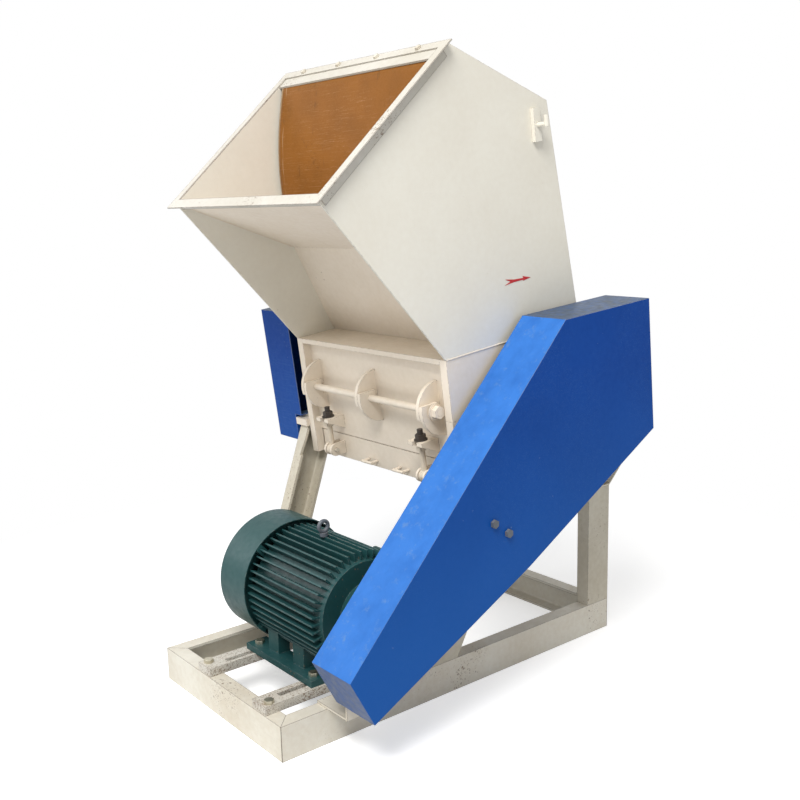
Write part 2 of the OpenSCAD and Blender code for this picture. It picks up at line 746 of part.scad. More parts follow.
handle_l = 52;
handle_r = 5;
handle_out = 26;
handle_rise = 20;
handle_xs = [-70, 90];
module pull_lug() {
    translate([-handle_l / 2, wall_y - handle_out, -cradle_low + handle_rise]) {
        rotate([0, 90, 0]) cylinder(h = handle_l, r = handle_r);
        for (x = [handle_r, handle_l - handle_r]) translate([x, 0, 0]) rotate([-90, 0, 0])
            cylinder(h = handle_out, r = handle_r);
    }
}

module screen_cradle() color(cream) at_rotor() {
    centred_slab(cradle_w) translate([wall_y, -cradle_low])
        square([wall_t, cradle_low - front_wall_h - cradle_gap]);
    for (i = [0 : cradle_rib_n - 1])
        slab(-cradle_w / 2 + i * (cradle_w - cradle_rib_t) / (cradle_rib_n - 1), cradle_rib_t)
            cradle_rib_outline();
    centred_slab(cradle_w) translate([cradle_rear_y, -cradle_low]) square([wall_t, cradle_low - cradle_top]);
    difference() {
        centred_slab(cradle_w) translate([cradle_rear_y, -lower_h - split_gap - cradle_flange_t])
            square([reach_rear + rear_flange_l - cradle_rear_y, cradle_flange_t]);
        for (x = rear_bolt_xs) translate([x, rear_bolt_y, -lower_h - wall_t - cradle_flange_t])
            cylinder(h = 2 * wall_t, r = rear_bolt_d / 2);
    }
    for (s = [-1, 1]) translate([s * hanger_x, 0, 0]) hanger_ears();
    for (x = handle_xs) translate([x, 0, 0]) pull_lug();
}

// Perforated screen, an arc below the rotor, its rows of holes staggered
screen_margin = 15;
screen_fan_a = 150;
drill_back = 6;
drill_l = 20;
screen_pitch = (cradle_w - 2 * screen_margin) / (screen_hole_n + 0.5);
screen_row_a = (screen_fan_a - 2 * screen_edge_a) / (screen_row_n - 1);
module screen() color(steel) at_rotor() difference() {
    centred_slab(cradle_w) intersection() {
        difference() {
            circle(r = cradle_in_r, $fn = 96);
            circle(r = screen_r, $fn = 96);
        }
        translate([-cradle_in_r, -cradle_in_r - eps])
            square([2 * cradle_in_r, cradle_in_r + eps - cradle_in_r * sin(screen_edge_a)]);
    }
    for (j = [0 : screen_row_n - 1]) for (i = [0 : screen_hole_n - 1])
        translate([(i + 0.5 - screen_hole_n / 2 + (j % 2 - 0.5) / 2) * screen_pitch, 0, 0])
            rotate([180 + (j - (screen_row_n - 1) / 2) * screen_row_a, 0, 0])
                translate([0, 0, screen_r - drill_back])
                    cylinder(h = drill_l, r = screen_hole_d / 2, $fn = 24);
}

// Hanger bolts: eyes on the pins, nuts and locknuts on the ledges
eye_share = 1.35;
bolt_top_share = 1.9;
nut_drop = pin_drop - ledge_drop;
module hanger_bolt() translate([0, pin_y, -pin_drop]) {
    difference() {
        bar_x(-hanger_d / 2, hanger_d, eye_share * pin_d);
        bar_x(-hanger_d, 2 * hanger_d, pin_d / 2 + pin_clear);
    }
    translate([0, 0, pin_d]) cylinder(h = nut_drop - pin_d + bolt_top_share * hanger_d, r = hanger_d / 2);
    translate([0, 0, nut_drop]) nut_washer(hanger_d);
    translate([0, 0, nut_drop - ledge_t]) mirror([0, 0, 1]) nut_washer(hanger_d);
}

module hanger_bolts() color(black_iron) at_rotor() for (s = [-1, 1])
    translate([s * hanger_x, 0, 0]) hanger_bolt();

pin_over = 8;
module hanger_pins() color(zinc) at_rotor() for (s = [-1, 1]) translate([s * hanger_x, pin_y, -pin_drop])
    bar_x(-ear_gap / 2 - ear_w - pin_over, ear_gap + 2 * (ear_w + pin_over), pin_d / 2);

bolt_over = 6;
module cradle_rear_bolts() color(zinc) at_rotor() for (x = rear_bolt_xs)
    translate([x, rear_bolt_y, -lower_h - split_gap - cradle_flange_t]) mirror([0, 0, 1])
        hex_bolt(rear_bolt_d, cradle_flange_t + wall_t + bolt_over);

// Upper housing, part of the tilting hopper
split_gap = 0.4;
module upper_side() difference() {
    slab(chamber_w / 2, side_t) translate([-reach_front, split_gap])
        square([reach_front + reach_rear, upper_h - split_gap]);
    bar_x(chamber_w / 2 - eps, side_t + 2 * eps, shaft_hole_r);
}

module upper_side_left() color(cream) mirror([1, 0, 0]) at_rotor() upper_side();

module upper_side_right() color(cream) at_rotor() upper_side();

module upper_front_wall() color(cream) at_rotor() {
    centred_slab(chamber_w) translate([wall_y, split_gap]) square([wall_t, upper_h - wall_t - split_gap]);
    centred_slab(chamber_w) translate([-reach_front, upper_h - wall_t])
        square([reach_front - throat_y, wall_t]);
    for (x = lobe_xs) slab(x - lobe_gap / 2 - lobe_t, lobe_t) upper_lobe_outline();
}

module upper_rear_wall() color(cream) at_rotor() {
    centred_slab(chamber_w) translate([rear_wall_y, split_gap]) square([wall_t, upper_h - split_gap]);
    difference() {
        centred_slab(chamber_w) translate([reach_rear, split_gap]) square([rear_flange_l, wall_t]);
        flange_bolt_holes(split_gap - eps, wall_t + 2 * eps);
    }
}

rod_end = 46;
module hinge_rod() color(cream) at_rotor() translate([0, rod_y, rod_rise]) {
    bar_x(-lobe_x - rod_end, 2 * (lobe_x + rod_end), rod_d / 2);
    both_sides() translate([lobe_x + rod_end - rod_d - eps, 0, 0]) rotate([0, 90, 0]) nut_washer(rod_d);
}

// Hopper sides
mouth_u = [cos(mouth_a), sin(mouth_a)];
mouth_n = [-sin(mouth_a), cos(mouth_a)];
mouth_0 = [-mouth_low_y, mouth_low_z];
function mouth_p(s, n) = mouth_0 + s * mouth_u + n * mouth_n;
lip_over = 6;
lip_in = rim_w + lip_over;
lip_back = 10;
lip_rise = 8;
top_gap = 2;
module hopper_side() slab(plate_x - sheet_t, sheet_t) polygon([mouth_p(lip_in, -rim_t),
    mouth_p(mouth_l - top_gap, -rim_t), [back_top_y, back_top_z], [reach_rear, upper_h],
    [-reach_front, upper_h], mouth_p(lip_in - lip_back, lip_rise - rim_h)]);

module hopper_side_left() color(cream) mirror([1, 0, 0]) at_rotor() hopper_side();

module hopper_side_right() color(cream) at_rotor() hopper_side();

// Outline of a folded sheet of the given thickness, on the left of the path a to b to c
module folded_sheet(a, b, c, t) {
    u1 = (b - a) / norm(b - a);
    u2 = (c - b) / norm(c - b);
    n1 = [-u1[1], u1[0]];
    n2 = [-u2[1], u2[0]];
    m = (n1 + n2) / (1 + n1 * n2);
    a0 = a - 2 * t * u1;
    c0 = c + 2 * t * u2;
    polygon([a0, b, c0, c0 + t * n2, b + t * m, a0 + t * n1]);
}

// Trims a sheet's outline to the space between the mouth rim and the upper housing
module hopper_trim() intersection() {
    children();
    translate([-big / 2, upper_h]) square([big, big]);
    translate(mouth_0) rotate(mouth_a) translate([lip_in, -big]) square([big, big - rim_t]);
}

hopper_in_w = 2 * (plate_x - sheet_t);
panel_share = 0.6;
module hopper_front_panel() color(cream) at_rotor() centred_slab(hopper_in_w) hopper_trim()
    folded_sheet(mouth_p(lip_in, -panel_share * rim_h), [-crease_y, crease_z], [-throat_y - sheet_t, upper_h],
        sheet_t);

module hopper_back_sheet() color(cream) at_rotor() centred_slab(hopper_in_w) hopper_trim()
    folded_sheet([reach_rear, upper_h], [back_top_y, back_top_z], mouth_p(mouth_l - top_gap, -rim_t),
        sheet_t);

// Mouth rim: an angle section round the outside of the mouth
module at_mouth() at_rotor() translate([0, mouth_0[0], mouth_0[1]]) rotate([mouth_a, 0, 0]) children();

top_bar = 30;
module mouth_rim() color(cream) at_mouth() difference() {
    union() {
        translate([-plate_x - rim_w, 0, -rim_t]) cube([2 * (plate_x + rim_w), mouth_l, rim_t]);
        translate([-plate_x - rim_t, lip_in - rim_t, -rim_h])
            cube([2 * (plate_x + rim_t), mouth_l - lip_in - rim_w, rim_h]);
    }
    translate([-plate_x, lip_in, -rim_h - eps]) cube([2 * plate_x, mouth_l, rim_h + eps - rim_t]);
    translate([-plate_x, lip_in - rim_h, -rim_h - eps]) cube([sheet_t, rim_h + eps, rim_h - rim_t]);
    translate([plate_x - sheet_t, lip_in - rim_h, -rim_h - eps]) cube([sheet_t, rim_h + eps, rim_h - rim_t]);
    translate([-hopper_in_w / 2, lip_in + sheet_t, -rim_h])
        cube([hopper_in_w, mouth_l - top_bar - lip_in - sheet_t, rim_h + eps]);
}

// Curtain, hung from a clamp strip under the top of the rim
strip_t = 6;
strip_end = 9;
curtain_s = mouth_l - strip_end - strip_w + curtain_t;
soft_gap = 0.3;
curtain_n = -rim_t - strip_t - curtain_t / 2 - soft_gap;
curtain_w = hopper_in_w - 4 * curtain_t;
module curtain_strip() color(cream) at_mouth()
    translate([-hopper_in_w / 2, mouth_l - strip_end - strip_w, -rim_t - strip_t])
        cube([hopper_in_w, strip_w, strip_t]);

module curtain() color(curtain_brown) at_rotor()
    translate([0, mouth_p(curtain_s, curtain_n)[0], mouth_p(curtain_s, curtain_n)[1]]) rotate([-tilt, 0, 0]) {
        bar_x(-curtain_w / 2, curtain_w, curtain_t / 2);
        translate([-curtain_w / 2, -curtain_t / 2, -curtain_l]) cube([curtain_w, curtain_t, curtain_l]);
    }

// Fasteners that ride with the hopper: curtain clamp bolts and split flange bolts
curtain_bolt_n = 4;
curtain_bolt_d = 10;
module hopper_bolts() color(black_iron) {
    at_mouth() for (i = [0 : curtain_bolt_n - 1])
        translate([(i + 0.5 - curtain_bolt_n / 2) * hopper_in_w / curtain_bolt_n, mouth_l - top_bar / 2, 0])
            hex_bolt(curtain_bolt_d, 0);
    at_rotor() for (x = flange_bolt_xs) translate([x, rear_bolt_y, split_gap + wall_t])
        hex_bolt(rear_bolt_d, 2 * wall_t - bolt_over);
}

// Lifting hooks on both side sheets near the rear top
hook_y = 122;
hook_z = 838;
hook_h = 96;
hook_w = 28;
hook_t = 14;
hook_reach = 34;
hook_tip_share = 2.4;
module lifting_hook() translate([plate_x, 0, 0]) {
    slab(0, hook_t) translate([hook_y, hook_z - hook_h]) square([hook_w, hook_h]);
    translate([0, hook_y + hook_w / 2, hook_z - hook_h / 2]) bar_x(hook_t, hook_reach, hook_t / 2);
    translate([hook_t + hook_reach, hook_y + hook_w / 2, hook_z - hook_h / 2 - hook_t / 2])
        cylinder(h = hook_tip_share * hook_t, r = hook_t / 2);
}

module lifting_hooks() color(cream) at_rotor() both_sides() lifting_hook();

// Belt guard: open-backed box, its outline in Y and Z from the front of the base and the floor
guard_points = [[66, 294], [859, 1143], [1237, 1176], [1275, 763], [716, 444], [140, 155]];
module belt_guard() color(guard_blue) from_front() difference() {
    slab(guard_x, guard_w) polygon(guard_points);
    slab(guard_x - eps, guard_w + eps - guard_t) offset(delta = -guard_t) polygon(guard_points);
    for (p = guard_bolt_ps) translate([0, p[0], p[1]]) bar_x(guard_x, 2 * guard_w, guard_bolt_d / 2);
}

// Brackets that hold the guard: a foot on the right sill and an arm from the right leg
guard_bolt_ps = [[626, 564], [571, 603]];
guard_bolt_d = 14;
stand_w = 30;
stand_l = 36;
stand_ys = [-284, 218];
pad_t = 8;
pad_l = 60;
pad_y = 152;
pad_in = 30;
pad_x = guard_x + pad_in;
strap_y = 200;
strap_w = 36;
guard_run = guard_points[4] - guard_points[5];
function guard_floor(y) = guard_points[5][1] + (y - guard_points[5][0]) * guard_run[1] / guard_run[0];
module guard_brackets() color(cream) {
    from_front() {
        translate([base_w / 2 - channel_b, pad_y, channel_h])
            cube([pad_x - base_w / 2 + channel_b, pad_l, pad_t]);
        slab(pad_x - pad_t, pad_t) polygon([[pad_y, channel_h], [pad_y + pad_l, channel_h],
            [pad_y + pad_l, guard_floor(pad_y + pad_l)], [pad_y, guard_floor(pad_y)]]);
    }
    intersection() {
        at_rotor() translate([guard_x + pad_t, strap_y, shelf_z]) cube([strap_w, base_l, pad_t]);
        from_front() slab(guard_x, guard_w - guard_t) offset(delta = -guard_t) polygon(guard_points);
    }
    mirror([1, 0, 0]) at_rotor() for (y = stand_ys)
        translate([fly_guard_x, y, shelf_z]) cube([stand_w, stand_l, notch_top - shelf_z]);
}

module guard_bolts() color(black_iron) {
    from_front() for (p = guard_bolt_ps)
        translate([guard_out_x, p[0], p[1]]) rotate([0, 90, 0]) hex_bolt(guard_bolt_d, guard_t);
    mirror([1, 0, 0]) at_rotor() for (y = [-fly_bolt_y, fly_bolt_y])
        translate([guard_out_x, y, 0]) rotate([0, 90, 0]) hex_bolt(guard_bolt_d, guard_t);
}
fly_bolt_y = 270;

// Flywheel guard: open-backed box, notched over the left shelf and leg
notch_gap = 5;
notch_top = -95;
fly_gap = 32;
notch_x = plate_x + shelf_w + notch_gap;
fly_guard_x = plate_x + fly_gap;
module fly_guard_outline(d) translate([-fly_guard_l + d, -fly_guard_low + d])
    square([2 * (fly_guard_l - d), fly_guard_low + fly_guard_top - 2 * d]);

module fly_notch(d) slab(guard_x - 2 * eps, notch_x - guard_x + d)
    translate([-fly_guard_l - eps, -fly_guard_low - eps]) square([2 * fly_guard_l + 2 * eps,
        fly_guard_low + notch_top + eps + d]);

module flywheel_guard() color(guard_blue) mirror([1, 0, 0]) at_rotor() difference() {
    slab(fly_guard_x, guard_out_x - fly_guard_x) fly_guard_outline(0);
    difference() {
        slab(fly_guard_x - eps, guard_out_x - fly_guard_x + eps - guard_t) fly_guard_outline(guard_t);
        fly_notch(guard_t);
    }
    fly_notch(0);
    slab(fly_guard_x - eps, notch_x - fly_guard_x + eps)
        translate([-bearing_l / 2 - 2 * guard_t, notch_top - eps])
            square([bearing_l + 4 * guard_t, 2 * guard_t]);
    for (y = [-fly_bolt_y, fly_bolt_y]) translate([0, y, 0]) bar_x(guard_x, 2 * guard_w, guard_bolt_d / 2);
}

// Motor on long feet
body_ahead = 213;
body_x1 = motor_x + body_ahead;
body_x0 = body_x1 - motor_l;
body_r = motor_r - rib_d;
frame_t = 14;
bore_r = body_r - frame_t;
shield_t = 37;
module at_motor() from_front() translate([0, motor_y, motor_z]) children();

foot_t = 20;
foot_end = 31;
foot_in = 94;
foot_over = 30;
foot_bolt_d = 16;
foot_web_x = 68;
foot_web_w = 56;
foot_web_t = 40;
foot_web_top = 70;
module motor_frame() color(motor_green) at_motor() difference() {
    union() {
        slab(body_x0, motor_l) {
            circle(r = body_r);
            for (i = [0 : rib_n - 1]) rotate(i * 360 / rib_n) translate([body_r - eps, -rib_t / 2])
                square([rib_d + eps, rib_t]);
        }
        for (s = [0, 1]) mirror([0, s, 0]) {
            slab(motor_x - foot_l / 2 - foot_end, foot_l + 2 * foot_end) translate([foot_in, -motor_h])
                square([foot_w / 2 + foot_over - foot_in, foot_t]);
            for (t = [-1, 1]) slab(motor_x + t * foot_web_x - foot_web_w / 2, foot_web_w)
                translate([foot_in, -motor_h]) square([foot_web_t, motor_h - foot_web_top]);
        }
    }
    bar_x(body_x0 - eps, motor_l + 2 * eps, bore_r);
    translate([motor_x - box_l / 2, body_r - rib_t, -box_h / 2]) cube([box_l, big, box_h]);
    for (s = [-1, 1]) for (t = [-1, 1]) translate([motor_x + s * foot_l / 2, t * foot_w / 2, -motor_h - eps])
        cylinder(h = foot_t + 2 * eps, r = foot_bolt_d / 2);
}

journal_clear = 0.06;
shield_lip_share = 0.4;
shield_share = 0.6;
cover_r = motor_r + cover_over;
cover_t = 3;
lug_w = 24;
module motor_end_shields() color(motor_green) at_motor() {
    difference() {
        union() {
            bar_x(body_x1, shield_lip_share * shield_t, body_r);
            bar_x(body_x1, shield_t, shield_share * body_r);
        }
        bar_x(body_x1 - eps, shield_t + 2 * eps, motor_shaft_d / 2 + journal_clear);
    }
    difference() {
        intersection() {
            bar_x(body_x0 - shield_share * shield_t, shield_share * shield_t, cover_r - cover_t);
            union() {
                bar_x(body_x0 - shield_t, shield_t, body_r - rib_d / 2);
                for (a = [45, 135]) rotate([a, 0, 0]) translate([body_x0 - shield_t, -cover_r, -lug_w / 2])
                    cube([shield_t, 2 * cover_r, lug_w]);
            }
        }
        bar_x(body_x0 - shield_t, 2 * shield_t, motor_shaft_d / 2 + journal_clear);
    }
}

vent_rings = [70, 100, 130, 160];
vent_n = 18;
vent_share = 0.07;
module motor_fan_cover() color(motor_green) at_motor() translate([body_x0 - fan_cover_l, 0, 0])
    rotate([0, 90, 0]) difference() {
        rotate_extrude($fn = 96) {
            translate([cover_r - cover_t, cover_t]) square([cover_t, fan_cover_l - cover_t]);
            square([cover_r, cover_t]);
        }
        for (r = vent_rings) for (i = [0 : vent_n - 1]) rotate(i * 360 / vent_n) translate([r, 0, -eps])
            cylinder(h = cover_t + 2 * eps, r = vent_share * r, $fn = 24);
    }

fan_n = 7;
fan_w = 50;
fan_r = 130;
fan_share = 0.8;
tail_share = 0.85;
fan_x = body_x0 - fan_share * fan_cover_l;
module motor_fan() color(black_iron) at_motor() translate([fan_x, 0, 0]) difference() {
    union() {
        bar_x(0, fan_w, motor_shaft_d);
        bar_x(fan_w - cover_t, cover_t, fan_r);
        for (i = [0 : fan_n - 1]) rotate([i * 360 / fan_n, 0, 0])
            translate([0, motor_shaft_d / 2 + rib_t, -rib_t / 2])
                cube([fan_w - cover_t / 2, fan_r - motor_shaft_d / 2 - 2 * rib_t, rib_t]);
    }
    bar_x(-eps, fan_w + 2 * eps, motor_shaft_d / 2);
}

air_gap = 1;
core_l = 280;
core_r = 88;
core_x = (body_x0 + body_x1) / 2;
module motor_stator() color(black_iron) at_motor() difference() {
    bar_x(core_x - core_l / 2, core_l, bore_r);
    bar_x(core_x - core_l / 2 - eps, core_l + 2 * eps, core_r + air_gap);
}

shaft_short = 30;
motor_shaft_end = pulley_x + pulley_w - shaft_short;
motor_tail_x = body_x0 - tail_share * fan_cover_l;
module motor_shaft() color(steel) at_motor() {
    bar_x(motor_tail_x, motor_shaft_end - motor_tail_x, motor_shaft_d / 2);
    bar_x(core_x - core_l / 2, core_l, core_r);
}

box_l = 130;
box_d = 84;
box_h = 110;
box_lid_t = 10;
gland_share = 1.6;
module motor_terminal_box() color(motor_green) at_motor() translate([motor_x, body_r - rib_t, 0]) {
    translate([-box_l / 2, 0, -box_h / 2]) cube([box_l, rib_d + box_d, box_h]);
    translate([-box_l / 2 - rib_t, rib_d + box_d, -box_h / 2 - rib_t])
        cube([box_l + 2 * rib_t, box_lid_t, box_h + 2 * rib_t]);
    translate([0, rib_d + box_d / 2, -box_h / 2 - box_lid_t])
        cylinder(h = 2 * box_lid_t, r = gland_share * box_lid_t);
}

eye_r = 22;
eye_ring = 6;
eye_x = 98;
eye_rise_share = 1.5;
module motor_eye_bolt() color(black_iron) at_motor() translate([eye_x, 0, motor_r]) {
    cylinder(h = 2 * eye_ring, r = 2 * eye_ring);
    translate([0, 0, eye_r + eye_rise_share * eye_ring]) rotate([0, 90, 0]) rotate_extrude()
        translate([eye_r - eye_ring, 0]) circle(r = eye_ring);
}

module motor_pulley() color(black_iron) at_motor() translate([pulley_x, 0, 0]) rotate([0, 90, 0])
    pulley_rim(motor_pulley_d, (motor_pulley_d - motor_shaft_d) / 2);

// V-belts: closed loops round both pulleys, each a wide outer and a narrow inner layer
belt_d1 = [rotor_y - motor_y, rotor_z - motor_z];
belt_span = norm(belt_d1);
belt_phi = atan2(belt_d1[1], belt_d1[0]);
belt_r1 = rotor_pulley_d / 2 + belt_proud;
belt_r2 = motor_pulley_d / 2 + belt_proud;
belt_alpha = acos((belt_r2 - belt_r1) / belt_span);
belt_top_share = 0.4;
belt_top_t = belt_top_share * belt_t;
belt_arc_n = 32;
function arc_points(c, r, a0, a1) = [for (i = [0 : belt_arc_n]) let (a = a0 + (a1 - a0) * i / belt_arc_n)
    c + r * [cos(a), sin(a)]];
module loop_area(t) polygon(concat(
    arc_points([rotor_y, rotor_z], belt_r1 - t, belt_phi - belt_alpha, belt_phi + belt_alpha),
    arc_points([motor_y, motor_z], belt_r2 - t, belt_phi + belt_alpha, belt_phi - belt_alpha + 360)));

module belt_layer(t0, t1) centred_slab(2 * belt_half(t1)) difference() {
    loop_area(t0);
    loop_area(t1);
}

module belt_loop() {
    belt_layer(0, belt_top_t);
    belt_layer(belt_top_t, belt_t);
}

module v_belts() color(belt_black) from_front() for (i = [0 : belt_n - 1])
    translate([pulley_x + groove_x(i), 0, 0]) belt_loop();

// Motor rails, slotted along their length, with foot and end bolts
motor_rail_c = 66;
rail_y0 = 2;
rail_y1 = 488;
slot_y0 = 70;
slot_y1 = 476;
rail_bolt_y = 24;
rail_bolt_x = [-102, 240];
module motor_rails() color(cream) from_front() for (s = [-1, 1]) difference() {
    translate([motor_rail_c + s * motor_rail_x / 2 - motor_rail_w / 2, rail_y0, channel_h])
        cube([motor_rail_w, rail_y1 - rail_y0, motor_rail_t]);
    translate([motor_x + s * foot_l / 2 - foot_bolt_d / 2 - eps, slot_y0, channel_h - eps])
        cube([foot_bolt_d + 2 * eps, slot_y1 - slot_y0, motor_rail_t + 2 * eps]);
    translate([s < 0 ? rail_bolt_x[0] : rail_bolt_x[1], rail_bolt_y, channel_h - eps])
        cylinder(h = motor_rail_t + 2 * eps, r = foot_bolt_d / 2);
}

module motor_bolts() color(zinc) from_front() {
    for (s = [-1, 1]) for (t = [-1, 1])
        translate([motor_x + s * foot_l / 2, motor_y + t * foot_w / 2, foot_z + foot_t])
            hex_bolt(foot_bolt_d, foot_t + motor_rail_t);
    for (x = rail_bolt_x) translate([x, rail_bolt_y, foot_z]) hex_bolt(foot_bolt_d, motor_rail_t);
}

front_sill();
rear_sill();
left_sill();
right_sill();
cross_sill();
front_leg_left();
front_leg_right();
rear_legs();
rear_cross_beam();
girders();
bearing_shelf_left();
bearing_shelf_right();
lower_side_left();
lower_side_right();
lower_front_wall();
lower_rear_wall();
bed_knives();
housing_bolts();
bearing_housings();
rotor_shaft();
rotor_body();
rotor_knives();
rotor_knife_bolts();
rotor_pulley();
flywheel();
screen_cradle();
screen();
hanger_bolts();
hanger_pins();
cradle_rear_bolts();
upper_side_left();
upper_side_right();
upper_front_wall();
upper_rear_wall();
hinge_rod();
hopper_side_left();
hopper_side_right();
hopper_front_panel();
hopper_back_sheet();
mouth_rim();
curtain_strip();
curtain();
hopper_bolts();
lifting_hooks();
belt_guard();
guard_brackets();
guard_bolts();
flywheel_guard();
motor_frame();
motor_end_shields();
motor_fan_cover();
motor_fan();
motor_stator();
motor_shaft();
motor_terminal_box();
motor_eye_bolt();
motor_pulley();
v_belts();
motor_rails();
motor_bolts();
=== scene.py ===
# %% [markdown]
# # A plastic granulator, dressed for its portrait
# The machine comes in as a frame of solids: channel base, cutting chamber, hopper, guards and motor.
# This notebook gives it paint, rubber and steel.
# It also adds what solids don't carry, such as weld beads and a limp curtain.
# Loading the frame first means that every later piece can be placed by the machine's own sizes.

# %% Load the frame
import math

import bmesh
import bpy
from mathutils import Matrix, Vector


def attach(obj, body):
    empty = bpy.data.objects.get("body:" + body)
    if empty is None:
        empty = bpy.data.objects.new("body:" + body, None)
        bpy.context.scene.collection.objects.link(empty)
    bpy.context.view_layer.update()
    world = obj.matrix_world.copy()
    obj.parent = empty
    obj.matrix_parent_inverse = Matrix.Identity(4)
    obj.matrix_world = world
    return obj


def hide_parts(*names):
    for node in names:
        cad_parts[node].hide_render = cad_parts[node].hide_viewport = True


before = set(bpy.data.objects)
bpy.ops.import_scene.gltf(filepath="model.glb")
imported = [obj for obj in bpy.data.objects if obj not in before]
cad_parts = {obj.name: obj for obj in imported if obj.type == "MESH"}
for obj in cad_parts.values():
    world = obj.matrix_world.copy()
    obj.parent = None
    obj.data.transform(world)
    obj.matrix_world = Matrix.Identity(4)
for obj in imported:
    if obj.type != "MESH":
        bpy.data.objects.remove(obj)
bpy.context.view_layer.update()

# %% [markdown]
# ## The camera
# The photograph was taken from the front right, below the top of the hopper, with an ordinary lens.
# A Track To constraint could aim the camera, but a matrix made from three angles keeps the small roll too.
# The position and the angles come from measured corners of the base, the hopper and the guard.

# %% Place the camera
CAMERA_AT = Vector((2.4894, -1.9734, 1.4709))
TURN, LIFT, ROLL = 0.892368, 0.190224, -0.0238182
FOCAL_PIXELS = 1008.57
PICTURE_PIXELS = 800
SENSOR_MM = 36
FAR_CLIP = 60

back = Vector((math.sin(TURN) * math.cos(LIFT), -math.cos(TURN) * math.cos(LIFT), math.sin(LIFT)))
level = (-back).cross(Vector((0, 0, 1))).normalized()
upright = level.cross(-back)
right = math.cos(ROLL) * level + math.sin(ROLL) * upright
up = -math.sin(ROLL) * level + math.cos(ROLL) * upright

lens = bpy.data.cameras.new("portrait_lens")
lens.sensor_width = SENSOR_MM
lens.lens = FOCAL_PIXELS / PICTURE_PIXELS * SENSOR_MM
lens.clip_end = FAR_CLIP
camera = bpy.data.objects.new("portrait_camera", lens)
camera.matrix_world = Matrix.Translation(CAMERA_AT) @ Matrix((right, up, back)).transposed().to_4x4()
bpy.context.collection.objects.link(camera)
bpy.context.scene.camera = camera
bpy.context.scene.view_settings.view_transform = "Standard"
print("lens in mm:", round(lens.lens, 2))

# %% [markdown]
# ## A short way to place shader nodes
# Node graphs grow long when every node takes four lines of code.
# `place` makes one node, sets its properties, and fills each input with a value or another node's output.
# The others are short names for the nodes that come up most.
# They work the same inside a material and inside a node group, which keeps the recipes below readable.

# %% Helpers that place nodes
def place(tree, kind, inputs=(), **props):
    node = tree.nodes.new("ShaderNode" + kind)
    for name, value in props.items():
        setattr(node, name, value)
    for socket, value in dict(inputs).items():
        if isinstance(value, bpy.types.NodeSocket):
            tree.links.new(value, node.inputs[socket])
        else:
            node.inputs[socket].default_value = value
    return node


def maths(tree, operation, a, b=0.0, clamp=False):
    return place(tree, "Math", {0: a, 1: b}, operation=operation, use_clamp=clamp).outputs[0]


def times(tree, a, b, clamp=False):
    return maths(tree, "MULTIPLY", a, b, clamp)


def plus(tree, a, b, clamp=False):
    return maths(tree, "ADD", a, b, clamp)


def vectors(tree, operation, a, b):
    return place(tree, "VectorMath", {0: a, 1: b}, operation=operation).outputs["Vector"]


def noise(tree, spot, scale, detail, **more):
    inputs = {"Vector": spot, "Scale": scale, "Detail": detail, **more}
    return place(tree, "TexNoise", inputs).outputs["Fac"]


def mix_colour(tree, factor, a, b):
    return place(tree, "Mix", {0: factor, 6: a, 7: b}, data_type="RGBA", blend_type="MIX").outputs[2]


def remap(tree, value, low, high, to_low=0.0, to_high=1.0):
    inputs = {"Value": value, "From Min": low, "From Max": high, "To Min": to_low, "To Max": to_high}
    return place(tree, "MapRange", inputs, clamp=True).outputs[0]


def object_spot(tree):
    return place(tree, "TexCoord").outputs["Object"]


def split(tree, vector):
    return place(tree, "SeparateXYZ", {0: vector}).outputs


print("node helpers ready")

# %% [markdown]
# ## Effects as node groups
# Old paint repeats a few effects on every surface: drifting colour, worn edges, dust, stains and scratches.
# They could be painted as images, but a procedural group follows any shape and needs no unwrapping.
# Each effect is built once as a group with named inputs, and every finish places it with its own values.

# %% A helper that starts a node group
def start_group(name, inputs, outputs):
    group = bpy.data.node_groups.new(name, "ShaderNodeTree")
    for kind, label, value in inputs:
        socket = group.interface.new_socket(name=label, in_out="INPUT", socket_type="NodeSocket" + kind)
        socket.default_value = value
    for kind, label in outputs:
        group.interface.new_socket(name=label, in_out="OUTPUT", socket_type="NodeSocket" + kind)
    return group, group.nodes.new("NodeGroupInput").outputs, group.nodes.new("NodeGroupOutput").inputs


print("group helper ready")

# %% [markdown]
# ### Colour drift
# Sprayed paint is never one colour: it yellows in patches and picks up a haze a few centimetres across.
# Two noises, one slow and one fine, are added and turned into a factor between the paint's two colours.

# %% Group: colour drift
FINE_SHARE = 0.35
DRIFT_BAND = (0.32, 0.68)

drift_group, given, made = start_group(
    "Colour drift",
    [("Float", "Scale", 3.0), ("Float", "Fine scale", 60.0), ("Float", "Strength", 1.0)],
    [("Float", "Mask"), ("Float", "Fine")],
)
spot = object_spot(drift_group)
slow = noise(drift_group, spot, given["Scale"], 4.0)
fine = noise(drift_group, spot, given["Fine scale"], 3.0)
haze = times(drift_group, maths(drift_group, "SUBTRACT", fine, 0.5), FINE_SHARE)
spread = remap(drift_group, plus(drift_group, slow, haze), *DRIFT_BAND)
drift_group.links.new(times(drift_group, spread, given["Strength"]), made["Mask"])
drift_group.links.new(fine, made["Fine"])
print("group:", drift_group.name)

# %% [markdown]
# ### Edge wear
# Paint goes first where steel ends, because corners are knocked and the coat is thin there.
# The Bevel node rounds the normal near an edge, so its difference from the true normal marks every edge.
# A noise breaks the band up into chips, as a clean line would look drawn.

# %% Group: edge wear
BEVEL_SAMPLES = 6
EDGE_BAND = (0.015, 0.12)
CHIP_GAIN = 0.3
CHIP_BAND = (0.56, 0.64)

